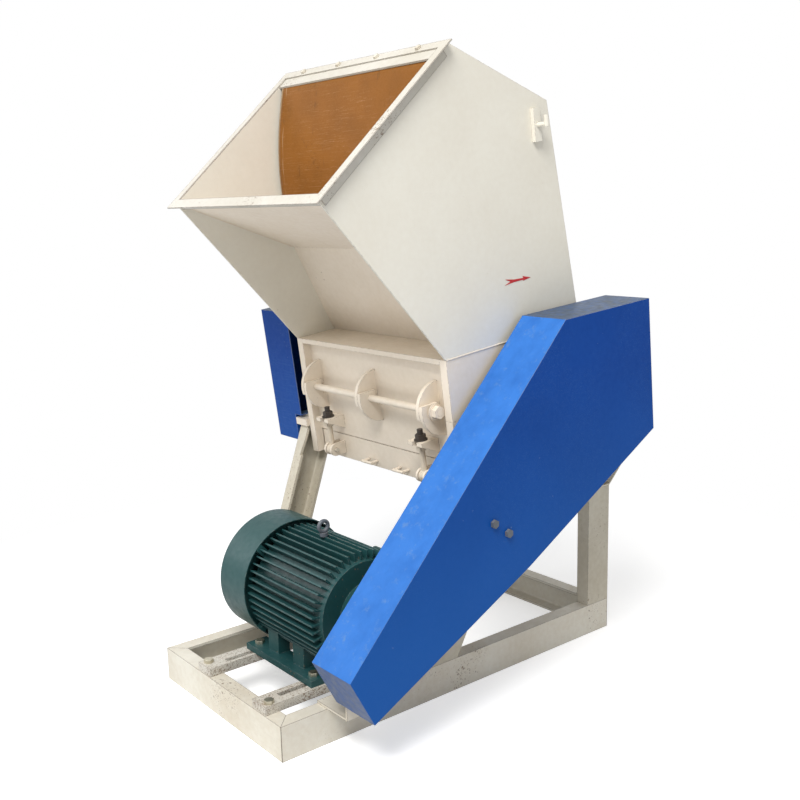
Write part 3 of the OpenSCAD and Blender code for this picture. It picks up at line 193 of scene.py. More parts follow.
wear_group, given, made = start_group(
    "Edge wear",
    [("Float", "Radius", 0.003), ("Float", "Chip scale", 90.0), ("Float", "Amount", 0.5)],
    [("Float", "Mask"), ("Vector", "Soft normal")],
)
soft = place(wear_group, "Bevel", {"Radius": given["Radius"]}, samples=BEVEL_SAMPLES).outputs["Normal"]
true_normal = place(wear_group, "NewGeometry").outputs["Normal"]
agree = place(wear_group, "VectorMath", {0: soft, 1: true_normal}, operation="DOT_PRODUCT").outputs["Value"]
edge = remap(wear_group, maths(wear_group, "SUBTRACT", 1.0, agree), *EDGE_BAND)
chips = noise(wear_group, object_spot(wear_group), given["Chip scale"], 5.0)
more_chips = plus(wear_group, chips, times(wear_group, given["Amount"], CHIP_GAIN))
chipped = remap(wear_group, more_chips, *CHIP_BAND)
wear_group.links.new(times(wear_group, edge, chipped), made["Mask"])
wear_group.links.new(soft, made["Soft normal"])
print("group:", wear_group.name)

# %% [markdown]
# ### Settled dust
# Plastic dust and yard dirt lie on what faces up and thin out on walls.
# The upward part of the normal gives that directly, and noise keeps the layer from looking sprayed on.

# %% Group: settled dust
UPWARD_BAND = (0.1, 0.95, 0.12, 1.0)
PATCH_BAND = (0.38, 0.66)

dust_group, given, made = start_group(
    "Settled dust",
    [("Float", "Amount", 0.5), ("Float", "Scale", 14.0)],
    [("Float", "Mask")],
)
upward = split(dust_group, place(dust_group, "NewGeometry").outputs["Normal"])["Z"]
facing = remap(dust_group, upward, *UPWARD_BAND)
cloud = noise(dust_group, object_spot(dust_group), given["Scale"], 6.0)
patchy = times(dust_group, facing, remap(dust_group, cloud, *PATCH_BAND))
dust_group.links.new(times(dust_group, patchy, given["Amount"], clamp=True), made["Mask"])
print("group:", dust_group.name)

# %% [markdown]
# ### Stains and specks
# The front beam and the motor rails are speckled with rust and oil, in dots from one to ten millimetres.
# Two Voronoi fields give round specks of two sizes, and a noise decides where they gather.

# %% Group: specks
WOBBLE_SCALE = 45.0
WOBBLE_REACH = (0.02, 0.02, 0.02)
BLOT_SCALE_SHARE = 0.31
BLOT_REACH_SHARE = 0.7
GATHER_GAIN = 0.3
GATHER_BAND = (0.5, 0.85, 0.0, 0.42)
SPECK_RIM = (-0.03, 0.06)

speck_group, given, made = start_group(
    "Specks",
    [("Float", "Amount", 0.5), ("Float", "Scale", 60.0), ("Float", "Gather scale", 5.0)],
    [("Float", "Mask")],
)
spot = object_spot(speck_group)
wobble = place(speck_group, "TexNoise", {"Vector": spot, "Scale": WOBBLE_SCALE, "Detail": 3.0})
shaken = vectors(speck_group, "MULTIPLY", wobble.outputs["Color"], WOBBLE_REACH)
moved = vectors(speck_group, "ADD", spot, shaken)
coarse = times(speck_group, given["Scale"], BLOT_SCALE_SHARE)
dots, blots = (
    place(speck_group, "TexVoronoi", {"Vector": moved, "Scale": scale}).outputs["Distance"]
    for scale in (given["Scale"], coarse)
)
gather = noise(speck_group, spot, given["Gather scale"], 4.0)
gathered = plus(speck_group, gather, times(speck_group, given["Amount"], GATHER_GAIN))
reach = remap(speck_group, gathered, *GATHER_BAND)
small = remap(speck_group, maths(speck_group, "SUBTRACT", reach, dots), *SPECK_RIM)
blot_reach = times(speck_group, reach, BLOT_REACH_SHARE)
large = remap(speck_group, maths(speck_group, "SUBTRACT", blot_reach, blots), *SPECK_RIM)
speck_group.links.new(maths(speck_group, "MAXIMUM", small, large), made["Mask"])
print("group:", speck_group.name)

# %% [markdown]
# ### Fine scratches
# Handling leaves hairlines that run mostly one way on each face.
# A noise stretched along one axis gives streaks, and a narrow band of its values gives thin lines.

# %% Group: scratches
STREAK_SCALE = 3.0
STREAK_BEND = 0.4
LINE_AT = 0.56
LINE_WIDTH = 0.012
WHERE_SCALE = 4.0
WHERE_GAIN = 0.25
WHERE_BAND = (0.6, 0.72)

scratch_group, given, made = start_group(
    "Scratches",
    [("Vector", "Stretch", (2.0, 60.0, 60.0)), ("Float", "Amount", 0.5)],
    [("Float", "Mask")],
)
spot = object_spot(scratch_group)
pulled = vectors(scratch_group, "MULTIPLY", spot, given["Stretch"])
streak = noise(scratch_group, pulled, STREAK_SCALE, 3.0, Distortion=STREAK_BEND)
off_line = maths(scratch_group, "ABSOLUTE", maths(scratch_group, "SUBTRACT", streak, LINE_AT))
line = remap(scratch_group, off_line, 0.0, LINE_WIDTH, 1.0, 0.0)
where = noise(scratch_group, spot, WHERE_SCALE, 2.0)
wanted = plus(scratch_group, where, times(scratch_group, given["Amount"], WHERE_GAIN))
some = remap(scratch_group, wanted, *WHERE_BAND)
scratch_group.links.new(times(scratch_group, line, some), made["Mask"])
print("group:", scratch_group.name)

# %% [markdown]
# ## What every finish shares
# Paint, metal and rubber all start as a new material and end by feeding colour, roughness and relief.
# These helpers do both ends, so each recipe below shows only what is its own.
# Roughness swings a little to either side of a gloss, along with the fine grain.

# %% Helpers for finishes
GRAIN_BAND = (0.3, 0.7)


def colour(red, green, blue):
    return (red, green, blue, 1.0)


def use(tree, group, **values):
    node = tree.nodes.new("ShaderNodeGroup")
    node.node_tree = group
    for label, value in values.items():
        node.inputs[label.replace("_", " ")].default_value = value
    return node.outputs


def parts_of(material):
    return material.node_tree, material.node_tree.nodes["Principled BSDF"]


def start_finish(name):
    material = bpy.data.materials.new(name)
    material.use_nodes = True
    return material, *parts_of(material)


def grain_gloss(tree, tone, gloss, less, more):
    return remap(tree, tone["Fine"], *GRAIN_BAND, gloss - less, gloss + more)


def cover(tree, shader, tint, rough, relief):
    tree.links.new(tint, shader.inputs["Base Color"])
    tree.links.new(rough, shader.inputs["Roughness"])
    tree.links.new(place(tree, "Bump", relief).outputs["Normal"], shader.inputs["Normal"])


def present_colour(shader):
    return shader.inputs["Base Color"].links[0].from_socket


print("finish helpers ready")

# %% [markdown]
# ## Painted steel
# Three paints cover the machine: ivory on the body, blue on the guards and blue-green on the motor.
# One function builds them all, since they differ in colour, age and gloss and not in what happens to them.
# The colour starts as two close shades, then dust, specks, scratches and bare edges are laid over it.

# %% Function: a painted finish
SPECKS_SHOW, SCRATCHES_SHOW, CHIPS_SHOW = 0.75, 0.4, 0.85
DUST_DULLS = 0.3
PIT_DEPTH = -1.2
PAINT_RELIEF = 0.0006


def painted(name, shade, aged, bare, gloss, dust=0.3, specks=0.1, wear=0.4, scratches=0.3,
            soft_edge=0.002, bump=0.15, speck_scale=60.0, speck_colour=(0.20, 0.13, 0.08),
            dust_colour=(0.55, 0.50, 0.42), shine=0.4):
    material, tree, shader = start_finish(name)
    shader.inputs["Specular IOR Level"].default_value = shine
    tone = use(tree, drift_group)
    dirt = use(tree, dust_group, Amount=dust)
    dots = use(tree, speck_group, Amount=specks, Scale=speck_scale)
    lines = use(tree, scratch_group, Amount=scratches)
    edges = use(tree, wear_group, Amount=wear, Radius=soft_edge)
    coat = mix_colour(tree, tone["Mask"], colour(*shade), colour(*aged))
    coat = mix_colour(tree, dirt["Mask"], coat, colour(*dust_colour))
    coat = mix_colour(tree, times(tree, dots["Mask"], SPECKS_SHOW), coat, colour(*speck_colour))
    coat = mix_colour(tree, times(tree, lines["Mask"], SCRATCHES_SHOW), coat, colour(*dust_colour))
    coat = mix_colour(tree, times(tree, edges["Mask"], CHIPS_SHOW), coat, colour(*bare))
    dulled = times(tree, dirt["Mask"], DUST_DULLS)
    rough = plus(tree, grain_gloss(tree, tone, gloss, 0.06, 0.08), dulled, clamp=True)
    pits = times(tree, plus(tree, dots["Mask"], edges["Mask"]), PIT_DEPTH)
    height = plus(tree, tone["Fine"], pits)
    relief = {"Height": height, "Strength": bump, "Distance": PAINT_RELIEF, "Normal": edges["Soft normal"]}
    cover(tree, shader, coat, rough, relief)
    return material


print("paint recipe ready, relief in metres:", PAINT_RELIEF)

# %% [markdown]
# ### Six ivory paints
# The ivory is one paint, but the hopper is clean, the rim is chipped and the rails are speckled with oil.
# The legs and the beams get a darker copy of it, which is painted shade.
# It could be one material with masks by place, but six short calls are easier to tune against the photograph.

# %% Mix the ivory paints
ivory = painted(
    "ivory paint", (0.80, 0.775, 0.69), (0.75, 0.715, 0.625), (0.22, 0.17, 0.13), 0.45,
    dust=0.10, specks=-0.7, wear=0.35, scratches=0.15,
)
ivory_rim = painted(
    "ivory paint, rim", (0.66, 0.635, 0.58), (0.56, 0.53, 0.46), (0.16, 0.11, 0.08), 0.5,
    dust=0.2, specks=0.35, wear=1.5, scratches=0.6, soft_edge=0.0035, speck_scale=150.0,
)
# The chamber paint is warmer than the hopper's, and also brighter as painted bounce light for the throat and
# the panel under the mouth.
ivory_chamber_painted_bounce = painted(
    "ivory paint, chamber, painted bounce light", (0.84, 0.755, 0.645), (0.76, 0.67, 0.55), (0.20, 0.15, 0.11), 0.48,
    dust=0.15, specks=-0.35, wear=0.5, scratches=0.2,
)
ivory_base = painted(
    "ivory paint, base", (0.78, 0.75, 0.66), (0.66, 0.60, 0.49), (0.17, 0.13, 0.10), 0.5,
    dust=0.3, specks=0.0, wear=1.1, scratches=0.4, soft_edge=0.0035, speck_scale=150.0,
)
# Painted shade: a darker, browner copy of the base paint for the legs and beams.
ivory_legs_painted_shade = painted(
    "ivory paint, legs, painted shade", (0.62, 0.58, 0.48), (0.50, 0.45, 0.35), (0.15, 0.11, 0.08), 0.55,
    dust=0.2, specks=0.0, wear=0.6, scratches=0.3, speck_scale=110.0,
)
ivory_rails = painted(
    "ivory paint, motor rails", (0.70, 0.68, 0.62), (0.54, 0.50, 0.43), (0.20, 0.16, 0.13), 0.55,
    dust=0.3, specks=0.95, wear=1.2, speck_scale=260.0,
)
print("ivory paints:", len([m for m in bpy.data.materials if m.name.startswith("ivory")]))

# %% [markdown]
# ### Guard blue and motor blue-green
# Both are glossier shop paints, darker than they look, because a white surround lights them from all sides.
# Their shine is kept low for the same reason, since the photograph shows no mirror-like faces.

# %% Mix the blue and the blue-green
guard_blue = painted(
    "guard blue paint", (0.003, 0.058, 0.31), (0.002, 0.046, 0.26), (0.36, 0.40, 0.46), 0.42,
    dust=0.05, specks=-0.2, wear=1.1, scratches=0.8, soft_edge=0.003,
    dust_colour=(0.10, 0.20, 0.40), speck_colour=(0.30, 0.36, 0.46), shine=0.12,
)
motor_green = painted(
    "motor paint", (0.016, 0.074, 0.076), (0.011, 0.056, 0.059), (0.20, 0.21, 0.20), 0.38,
    dust=0.08, specks=-0.1, wear=0.15, bump=0.3, dust_colour=(0.12, 0.16, 0.15), shine=0.35,
)
print("dark paints:", guard_blue.name, "and", motor_green.name)

# %% [markdown]
# ## Weather and painted light on the guards
# The blue guards' upward slopes are painted a lighter blue as painted light, streaked like faded paint, and
# their flat tops go grey with dust.
# Their low ends are scuffed by feet, and their faces grow lighter towards the floor.
# The normal and the height choose the layer, and streaky noise breaks it up.

# %% Fade and scuff the guard paint
STREAK_STRETCH = (3.0, 3.0, 1.2)
LIGHTER_BELOW = (1.0, 0.3, 0.0, 0.7)
SLOPE_BAND = (0.2, 0.5)
TOP_BAND = (0.8, 0.97)
LOW_END_BAND = (-0.2, -0.4)
WORN_BAND = (0.56, 0.70, 0.0, 0.55)

tree, shader = parts_of(guard_blue)
way = split(tree, place(tree, "NewGeometry").outputs["Normal"])
spot = object_spot(tree)
streaks = noise(tree, vectors(tree, "MULTIPLY", spot, STREAK_STRETCH), 5.0, 8.0, Roughness=0.6)
grime = noise(tree, spot, 38.0, 8.0, Roughness=0.7)
# Painted light: the upward slopes get a lighter blue, broken by streaks like faded paint.
slope_light_and_fade = times(tree, remap(tree, way["Z"], *SLOPE_BAND), remap(tree, streaks, 0.3, 0.6, 0.65, 1.0))
dusty_top = times(tree, remap(tree, way["Z"], *TOP_BAND), remap(tree, grime, 0.3, 0.6, 0.7, 1.0))
low_end = times(tree, remap(tree, way["Z"], *LOW_END_BAND), remap(tree, way["Y"], *LOW_END_BAND))
scuffed_end = times(tree, low_end, remap(tree, grime, 0.35, 0.6, 0.35, 0.85))
lighter = remap(tree, split(tree, spot)["Z"], *LIGHTER_BELOW)
worn = times(tree, slope_light_and_fade, remap(tree, grime, *WORN_BAND))

layers = [
    (lighter, (0.008, 0.100, 0.38)),
    (slope_light_and_fade, (0.038, 0.180, 0.58)),
    (worn, (0.13, 0.25, 0.47)),
    (dusty_top, (0.065, 0.088, 0.125)),
    (scuffed_end, (0.14, 0.17, 0.235)),
]
blue = present_colour(shader)
for mask, shade in layers:
    blue = mix_colour(tree, mask, blue, colour(*shade))
tree.links.new(blue, shader.inputs["Base Color"])
print("guard layers:", len(layers))

# %% [markdown]
# ## Bare metal
# Cutting steel, zinc plated fasteners, blackened fasteners and rough iron share one recipe too.
# Metallic is one number for each of them, and lower for the two that are half covered by scale.
# The grain, the stains and the polish change only the colour and the roughness.

# %% Function: a metal finish
METAL_DRIFT = 14.0
METAL_STAINS = {"Amount": 0.4, "Scale": 140.0, "Gather_scale": 18.0}
METAL_EDGES = {"Amount": 0.3, "Radius": 0.0012}
METAL_SCRATCHES = 0.8
DARKER_SHARE = 0.8
STAINS_SHOW = 0.8
STAINS_DULL = 0.3
METAL_RELIEF = 0.0003


def metal(name, shade, stained, gloss, metallic=1.0, bump=0.2, fine_scale=220.0):
    material, tree, shader = start_finish(name)
    shader.inputs["Metallic"].default_value = metallic
    tone = use(tree, drift_group, Scale=METAL_DRIFT, Fine_scale=fine_scale)
    dots = use(tree, speck_group, **METAL_STAINS)
    lines = use(tree, scratch_group, Amount=METAL_SCRATCHES)
    edges = use(tree, wear_group, **METAL_EDGES)
    darker = colour(*[DARKER_SHARE * c for c in shade])
    skin = mix_colour(tree, tone["Mask"], colour(*shade), darker)
    skin = mix_colour(tree, times(tree, dots["Mask"], STAINS_SHOW), skin, colour(*stained))
    dulled = times(tree, dots["Mask"], STAINS_DULL)
    rough = plus(tree, grain_gloss(tree, tone, gloss, 0.08, 0.12), dulled, clamp=True)
    height = maths(tree, "SUBTRACT", tone["Fine"], lines["Mask"])
    relief = {"Height": height, "Strength": bump, "Distance": METAL_RELIEF, "Normal": edges["Soft normal"]}
    cover(tree, shader, skin, rough, relief)
    return material


cutting_steel = metal("ground cutting steel", (0.56, 0.57, 0.58), (0.24, 0.17, 0.12), 0.30)
zinc = metal("zinc plated steel", (0.60, 0.56, 0.44), (0.28, 0.22, 0.14), 0.38)
dark_fastener = metal("blackened steel", (0.075, 0.065, 0.058), (0.13, 0.075, 0.045), 0.5, metallic=0.7)
rough_iron = metal(
    "rough iron", (0.13, 0.13, 0.13), (0.16, 0.09, 0.055), 0.6, metallic=0.6, bump=0.5, fine_scale=400.0
)
print("metals:", [m.name for m in (cutting_steel, zinc, dark_fastener, rough_iron)])

# %% [markdown]
# ## Half painted fasteners
# The brush went over the hanger bolts' shanks but missed their nuts, which are dark and oily.
# One solid carries both by mixing the paint's colour and the bare steel's colour at the ledge's height.
# The height is taken along the lean of the chamber, so the change falls on the ledge.
# The clamp bolts and the guards' bolt heads were painted over whole, so they get plain worn paint.

# %% Make the fasteners' paints
LEAN = math.radians(7)
LEDGE_HEIGHT = 0.7805
LEDGE_BLUR = 0.002

hanger_finish = painted(
    "hanger bolt, half painted", (0.74, 0.66, 0.54), (0.66, 0.57, 0.45), (0.20, 0.15, 0.11), 0.5,
    dust=0.2, specks=0.2, wear=0.7, soft_edge=0.001,
)
tree, shader = parts_of(hanger_finish)
spot = split(tree, object_spot(tree))
above_lean = maths(tree, "SUBTRACT", spot["Z"], times(tree, spot["Y"], math.tan(LEAN)))
oily = remap(tree, above_lean, LEDGE_HEIGHT, LEDGE_HEIGHT + LEDGE_BLUR)
half_painted = mix_colour(tree, oily, present_colour(shader), colour(0.045, 0.036, 0.030))
tree.links.new(half_painted, shader.inputs["Base Color"])

painted_bolts = painted(
    "painted bolt heads", (0.76, 0.72, 0.62), (0.62, 0.56, 0.46), (0.10, 0.08, 0.07), 0.5,
    dust=0.2, specks=0.3, wear=1.2, soft_edge=0.0015,
)
guard_heads = painted(
    "guard bolt heads", (0.12, 0.14, 0.17), (0.08, 0.09, 0.11), (0.05, 0.04, 0.04), 0.45,
    dust=0.3, specks=0.3, wear=0.8, soft_edge=0.001,
)
print("ledge height in metres:", LEDGE_HEIGHT)

# %% [markdown]
# ## Rubber and plastic
# The belts are matt black rubber with a cloth-like grain, and the fan is moulded plastic.
# The curtain is a sheet of brown rubber with fine pale streaks that run level across it.
# All three use the same groups, and only the stretch of the scratches and the scales differ.

# %% Function: a soft finish
CLOTH_SCALE = 260.0
STREAKS_SHOW = 0.55
SPOTS_SHOW = 0.3
SPOT_SHARE = 0.25
SPOT_SCALE = 90.0
SPOT_DARKNESS = 0.4
SOFT_RELIEF = 0.0005


def rubbery(name, shade, aged, scuffed, gloss, scuffs=0.5, bump=0.4, stretch=(50.0, 50.0, 2.0), drift=6.0):
    material, tree, shader = start_finish(name)
    tone = use(tree, drift_group, Scale=drift, Fine_scale=CLOTH_SCALE)
    lines = use(tree, scratch_group, Amount=scuffs, Stretch=stretch)
    dots = use(tree, speck_group, Amount=SPOT_SHARE * scuffs, Scale=SPOT_SCALE)
    skin = mix_colour(tree, tone["Mask"], colour(*shade), colour(*aged))
    skin = mix_colour(tree, times(tree, lines["Mask"], STREAKS_SHOW), skin, colour(*scuffed))
    darkest = colour(*[SPOT_DARKNESS * c for c in aged])
    skin = mix_colour(tree, times(tree, dots["Mask"], SPOTS_SHOW), skin, darkest)
    relief = {"Height": tone["Fine"], "Strength": bump, "Distance": SOFT_RELIEF}
    cover(tree, shader, skin, grain_gloss(tree, tone, gloss, 0.08, 0.1), relief)
    return material


belt_rubber = rubbery("belt rubber", (0.022, 0.022, 0.022), (0.035, 0.034, 0.033), (0.10, 0.10, 0.10), 0.75)
fan_plastic = rubbery(
    "fan plastic", (0.03, 0.03, 0.03), (0.04, 0.04, 0.04), (0.08, 0.08, 0.08), 0.55, scuffs=0.2
)
curtain_rubber = rubbery(
    "curtain rubber", (0.262, 0.098, 0.012), (0.215, 0.080, 0.010), (0.42, 0.24, 0.12), 0.55,
    scuffs=0.9, bump=0.3, stretch=(2.0, 2.0, 70.0), drift=9.0,
)
print("soft finishes:", [m.name for m in (belt_rubber, fan_plastic, curtain_rubber)])

# %% [markdown]
# ### Marks on the curtain
# The curtain has a painted highlight along its left edge, a long crease near its left side, and dark smears
# from hands and scrap.
# Each is a mask in the sheet's own coordinates, broken up by noise, so nothing is painted by hand.

# %% Mark the curtain's edge highlight, crease and smears
CURTAIN_SHINE = 0.2
EDGE_HIGHLIGHT_BAND = (-0.352, -0.357)
CREASE_X = 0.318
CREASE_BEND = 0.03
CREASE_BAND = (0.0004, 0.0028, 0.5, 0.0)
CREASE_BREAKS = (0.45, 0.55)
SMEAR_STRETCH = (14.0, 14.0, 5.0)
SMEAR_BAND = (0.60, 0.72, 0.0, 0.6)

tree, shader = parts_of(curtain_rubber)
shader.inputs["Specular IOR Level"].default_value = CURTAIN_SHINE
spot = object_spot(tree)
across_x = split(tree, spot)["X"]
wander = noise(tree, spot, 6.0, 3.0)
# Painted highlight: a pale band along the left edge stands in for light on the sheet's thickness.
edge_highlight = remap(tree, across_x, *EDGE_HIGHLIGHT_BAND)
bend = plus(tree, across_x, times(tree, wander, CREASE_BEND))
crease = remap(tree, maths(tree, "ABSOLUTE", plus(tree, bend, CREASE_X)), *CREASE_BAND)
crease = times(tree, crease, remap(tree, wander, *CREASE_BREAKS))
smeared = vectors(tree, "MULTIPLY", spot, SMEAR_STRETCH)
smears = remap(tree, noise(tree, smeared, 2.0, 7.0, Roughness=0.7), *SMEAR_BAND)
brown = mix_colour(tree, smears, present_colour(shader), colour(0.085, 0.040, 0.014))
# One pale colour serves both the painted edge highlight and the crease.
brown = mix_colour(tree, maths(tree, "MAXIMUM", edge_highlight, crease), brown, colour(0.52, 0.38, 0.24))
tree.links.new(brown, shader.inputs["Base Color"])
print("crease at x =", -CREASE_X)

# %% [markdown]
# ## Dressing the solids
# Each solid keeps its shape and trades its plain material for one of these finishes.
# A table from finish to names keeps the choice visible, and anything that it forgets is printed.

# %% Assign the finishes
WEARS = {
    ivory: "hopper_side_left hopper_side_right hopper_back_sheet lifting_hooks",
    ivory_rim: "mouth_rim curtain_strip",
    ivory_chamber_painted_bounce: "hopper_front_panel upper_side_left upper_side_right upper_front_wall upper_rear_wall "
    "lower_side_left lower_side_right lower_front_wall lower_rear_wall hinge_rod screen_cradle "
    "bearing_shelf_left bearing_shelf_right",
    ivory_base: "front_sill rear_sill left_sill right_sill guard_brackets",
    ivory_rails: "cross_sill motor_rails",
    ivory_legs_painted_shade: "front_leg_left front_leg_right rear_legs rear_cross_beam girders",
    guard_blue: "belt_guard flywheel_guard",
    motor_green: "motor_frame motor_end_shields motor_fan_cover motor_terminal_box",
    cutting_steel: "bed_knives rotor_shaft rotor_knives screen motor_shaft",
    zinc: "housing_bolts cradle_rear_bolts motor_bolts",
    dark_fastener: "rotor_knife_bolts",
    guard_heads: "guard_bolts motor_eye_bolt",
    hanger_finish: "hanger_bolts",
    painted_bolts: "hopper_bolts hanger_pins",
    rough_iron: "bearing_housings rotor_pulley flywheel motor_pulley rotor_body motor_stator",
    belt_rubber: "v_belts",
    fan_plastic: "motor_fan",
    curtain_rubber: "curtain",
}
dressed = set()
for finish, names in WEARS.items():
    for name in names.split():
        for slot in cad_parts[name].material_slots:
            slot.material = finish
        dressed.add(name)
print("forgotten:", sorted(set(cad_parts) - dressed))

# %% [markdown]
# ## Leaning coordinates
# The chamber and the hopper lean back by seven degrees about the rotor.
# Pieces on them are easier to place along the lean.
# So one function turns chamber sizes in millimetres into metres of the frame.

# %% Function: from chamber millimetres to the frame
ROTOR_Y, ROTOR_Z = 0.217, 0.892


def leaning(x, y, z):
    x, y, z = x / 1000, y / 1000, z / 1000
    ahead = ROTOR_Y + y * math.cos(LEAN) - z * math.sin(LEAN)
    above = ROTOR_Z + y * math.sin(LEAN) + z * math.cos(LEAN)
    return Vector((x, ahead, above))


print("front lip of the hopper:", [round(v, 3) for v in leaning(380, -650, 668)])

# %% [markdown]
# ## Making a piece from a mesh
# Every added piece is built as points and faces and then becomes an object with one finish.
# A thin sheet takes its thickness from a Solidify modifier, which keeps its outline as drawn.

# %% Helpers that make pieces
def new_piece(name, maker, finish, thickness=0.0):
    mesh = bpy.data.meshes.new(name)
    maker.to_mesh(mesh)
    maker.free()
    piece = bpy.data.objects.new(name, mesh)
    piece.data.materials.append(finish)
    bpy.context.collection.objects.link(piece)
    if thickness:
        solid = piece.modifiers.new("thickness", "SOLIDIFY")
        solid.thickness = thickness
        solid.offset = 0
    return piece


def grid_object(name, columns, rows, point, finish, thickness):
    maker = bmesh.new()
    grid = [
        [maker.verts.new(point(c / columns, r / rows)) for c in range(columns + 1)] for r in range(rows + 1)
    ]
    for above, below in zip(grid, grid[1:]):
        for c in range(columns):
            maker.faces.new((above[c], above[c + 1], below[c + 1], below[c])).smooth = True
    return new_piece(name, maker, finish, thickness)


print("piece helpers ready")

# %% [markdown]
# ## The curtain
# A rubber curtain hangs inside the mouth, so that chips don't fly back out.
# Cloth simulation would work, but a thick rubber sheet bends in slow waves that a formula gives at once.
# The sheet is a grid that bows towards the mouth, most at its left side, with a slow wave along its foot.

# %% Make the curtain
SHEET_W, SHEET_L, SHEET_T = 0.724, 0.430, 0.005
SHEET_COLUMNS, SHEET_ROWS = 36, 24
NARROWS, HANGS, BELOW_HINGE = 0.012, 0.992, 0.001
BELLY, BELLY_REACH, BELLY_FADE = 0.026, 0.92, 0.65
WAVE, WAVE_COUNT, WAVE_START = 0.008, 3.1, 0.6
hinge = leaning(0, -223.9, 1001.3)


def curtain_point(across, down):
    x = (across - 0.5) * SHEET_W * (1 - NARROWS * down)
    belly = BELLY * math.sin(math.pi * min(1.0, down * BELLY_REACH)) * (1 - BELLY_FADE * across)
    curl = WAVE * down * math.sin(WAVE_COUNT * math.pi * across + WAVE_START)
    return Vector((x, hinge.y - belly - curl, hinge.z - BELOW_HINGE - down * SHEET_L * HANGS))


hanging = grid_object("hanging_curtain", SHEET_COLUMNS, SHEET_ROWS, curtain_point, curtain_rubber, SHEET_T)
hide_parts("curtain")
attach(hanging, "curtain")
print("curtain hangs from", round(hinge.z, 3), "to", round(hinge.z - SHEET_L, 3))

# %% [markdown]
# ## Weld beads
# The hopper and the chamber are welded, and each seam shows a narrow rippled bead under the paint.
# A bead is swept as a six-sided tube whose radius swells a little at every ripple.
# All beads of one body go into one mesh, which keeps the list of pieces short.

# %% Function: sweep weld beads
BEAD_RADIUS = 0.0019
BEAD_RIPPLE = 0.0055
BEAD_SIDES = 6
BEAD_WAIST, BEAD_SWELL, BEAD_TIP = 0.88, 0.12, 0.3


def weld_beads(name, seams, body, finish):
    maker = bmesh.new()
    for start, end in seams:
        along = end - start
        steps = max(4, int(along.length / BEAD_RIPPLE) * 2)
        side = along.normalized().orthogonal().normalized()
        other = along.normalized().cross(side)
        rings = []
        for i in range(steps + 1):
            waist = BEAD_WAIST + BEAD_SWELL * (i % 2) if 0 < i < steps else BEAD_TIP
            centre = start + along * (i / steps)
            ring = []
            for k in range(BEAD_SIDES):
                turn = k * 2 * math.pi / BEAD_SIDES
                outward = math.cos(turn) * side + math.sin(turn) * other
                ring.append(maker.verts.new(centre + BEAD_RADIUS * waist * outward))
            rings.append(ring)
        for a, b in zip(rings, rings[1:]):
            for k in range(BEAD_SIDES):
                after = (k + 1) % BEAD_SIDES
                maker.faces.new((a[k], a[after], b[after], b[k])).smooth = True
        maker.faces.new(rings[0][::-1])
        maker.faces.new(rings[-1])
    bmesh.ops.recalc_face_normals(maker, faces=maker.faces)
    piece = new_piece(name, maker, finish)
    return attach(piece, body)


print("bead sweeper ready")

# %% [markdown]
# ### Where the seams run
# Long seams follow the hopper's folds and the chamber's corners, alike on the left and the right.
# Short ones run down both faces of each hinge lobe, and belong to the wall that carries that lobe.
# Tables of leaning millimetres say this more shortly than one call for each seam.

# %% Weld the hopper and the chamber
FRONT_WALL_Y = -273
HOPPER_RUNS = [
    (380.5, (-298, 184), (262, 184)),
    (373, (-262, 487), (-147, 188)),
    (373, (-628, 670), (-266, 489)),
    (349, (FRONT_WALL_Y, 6), (FRONT_WALL_Y, 166)),
]
HOPPER_LOBES = ((-312.5, -298.5, -14.5, -0.5, 283.5, 297.5), 40, 106)
CHAMBER_RUNS = [(349, (FRONT_WALL_Y, -218), (FRONT_WALL_Y, -4))]
CHAMBER_LOBES = ((-297.5, -283.5, 0.5, 14.5, 298.5, 312.5), -52, -4)


def seams_of(runs, lobes):
    long_seams = [
        (leaning(side * x, *low), leaning(side * x, *high)) for side in (-1, 1) for x, low, high in runs
    ]
    faces, bottom, top = lobes
    short_seams = [(leaning(x, FRONT_WALL_Y, bottom), leaning(x, FRONT_WALL_Y, top)) for x in faces]
    return long_seams + short_seams


hopper_seams = seams_of(HOPPER_RUNS, HOPPER_LOBES)
weld_beads("hopper_welds", hopper_seams, "hopper", ivory_chamber_painted_bounce)
chamber_seams = seams_of(CHAMBER_RUNS, CHAMBER_LOBES)
weld_beads("chamber_welds", chamber_seams, "base", ivory_chamber_painted_bounce)
print("seams:", len(hopper_seams) + len(chamber_seams))

# %% [markdown]
# ## A ring of painted shade in the fan cover
# The fan's air leaves over the ribs through a narrow ring, which the photograph shows only as shade.
# A thin dark ring of motor paint is put there as painted shade, and it closes the view through the cover.
# A lathe profile could make it, but one ring of quads with a Solidify modifier is shorter.

# %% Make the ring of painted shade
MOTOR_Y, MOTOR_Z = -0.350, 0.330
SHADE_RING_X, SHADE_RING_T = -0.092, 0.002
RIM_R, HOLE_R = 0.1874, 0.138
SHADE_RING_COLUMNS = 72


def shade_ring_point(around, outward):
    turn = 2 * math.pi * around
    reach = HOLE_R + (RIM_R - HOLE_R) * outward
    return Vector((SHADE_RING_X, MOTOR_Y + reach * math.cos(turn), MOTOR_Z + reach * math.sin(turn)))


# Painted shade: a dark ring where the gap in the cover shows only shade.
shade_ring = grid_object("painted_shade_ring", SHADE_RING_COLUMNS, 1, shade_ring_point, motor_green, SHADE_RING_T)
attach(shade_ring, "base")
print("baffle radii:", HOLE_R, RIM_R)

# %% [markdown]
# ## The direction arrow
# A small plain red arrow on the hopper's side points to the rear, as in the photograph.
# Such arrows usually show which way a rotor turns.
# A decal image isn't needed: a flat dart with a notched tail and a small head reads the same.
# It is a film thick, and the face's normal is set first, or its notch would be filled when it is cut up.

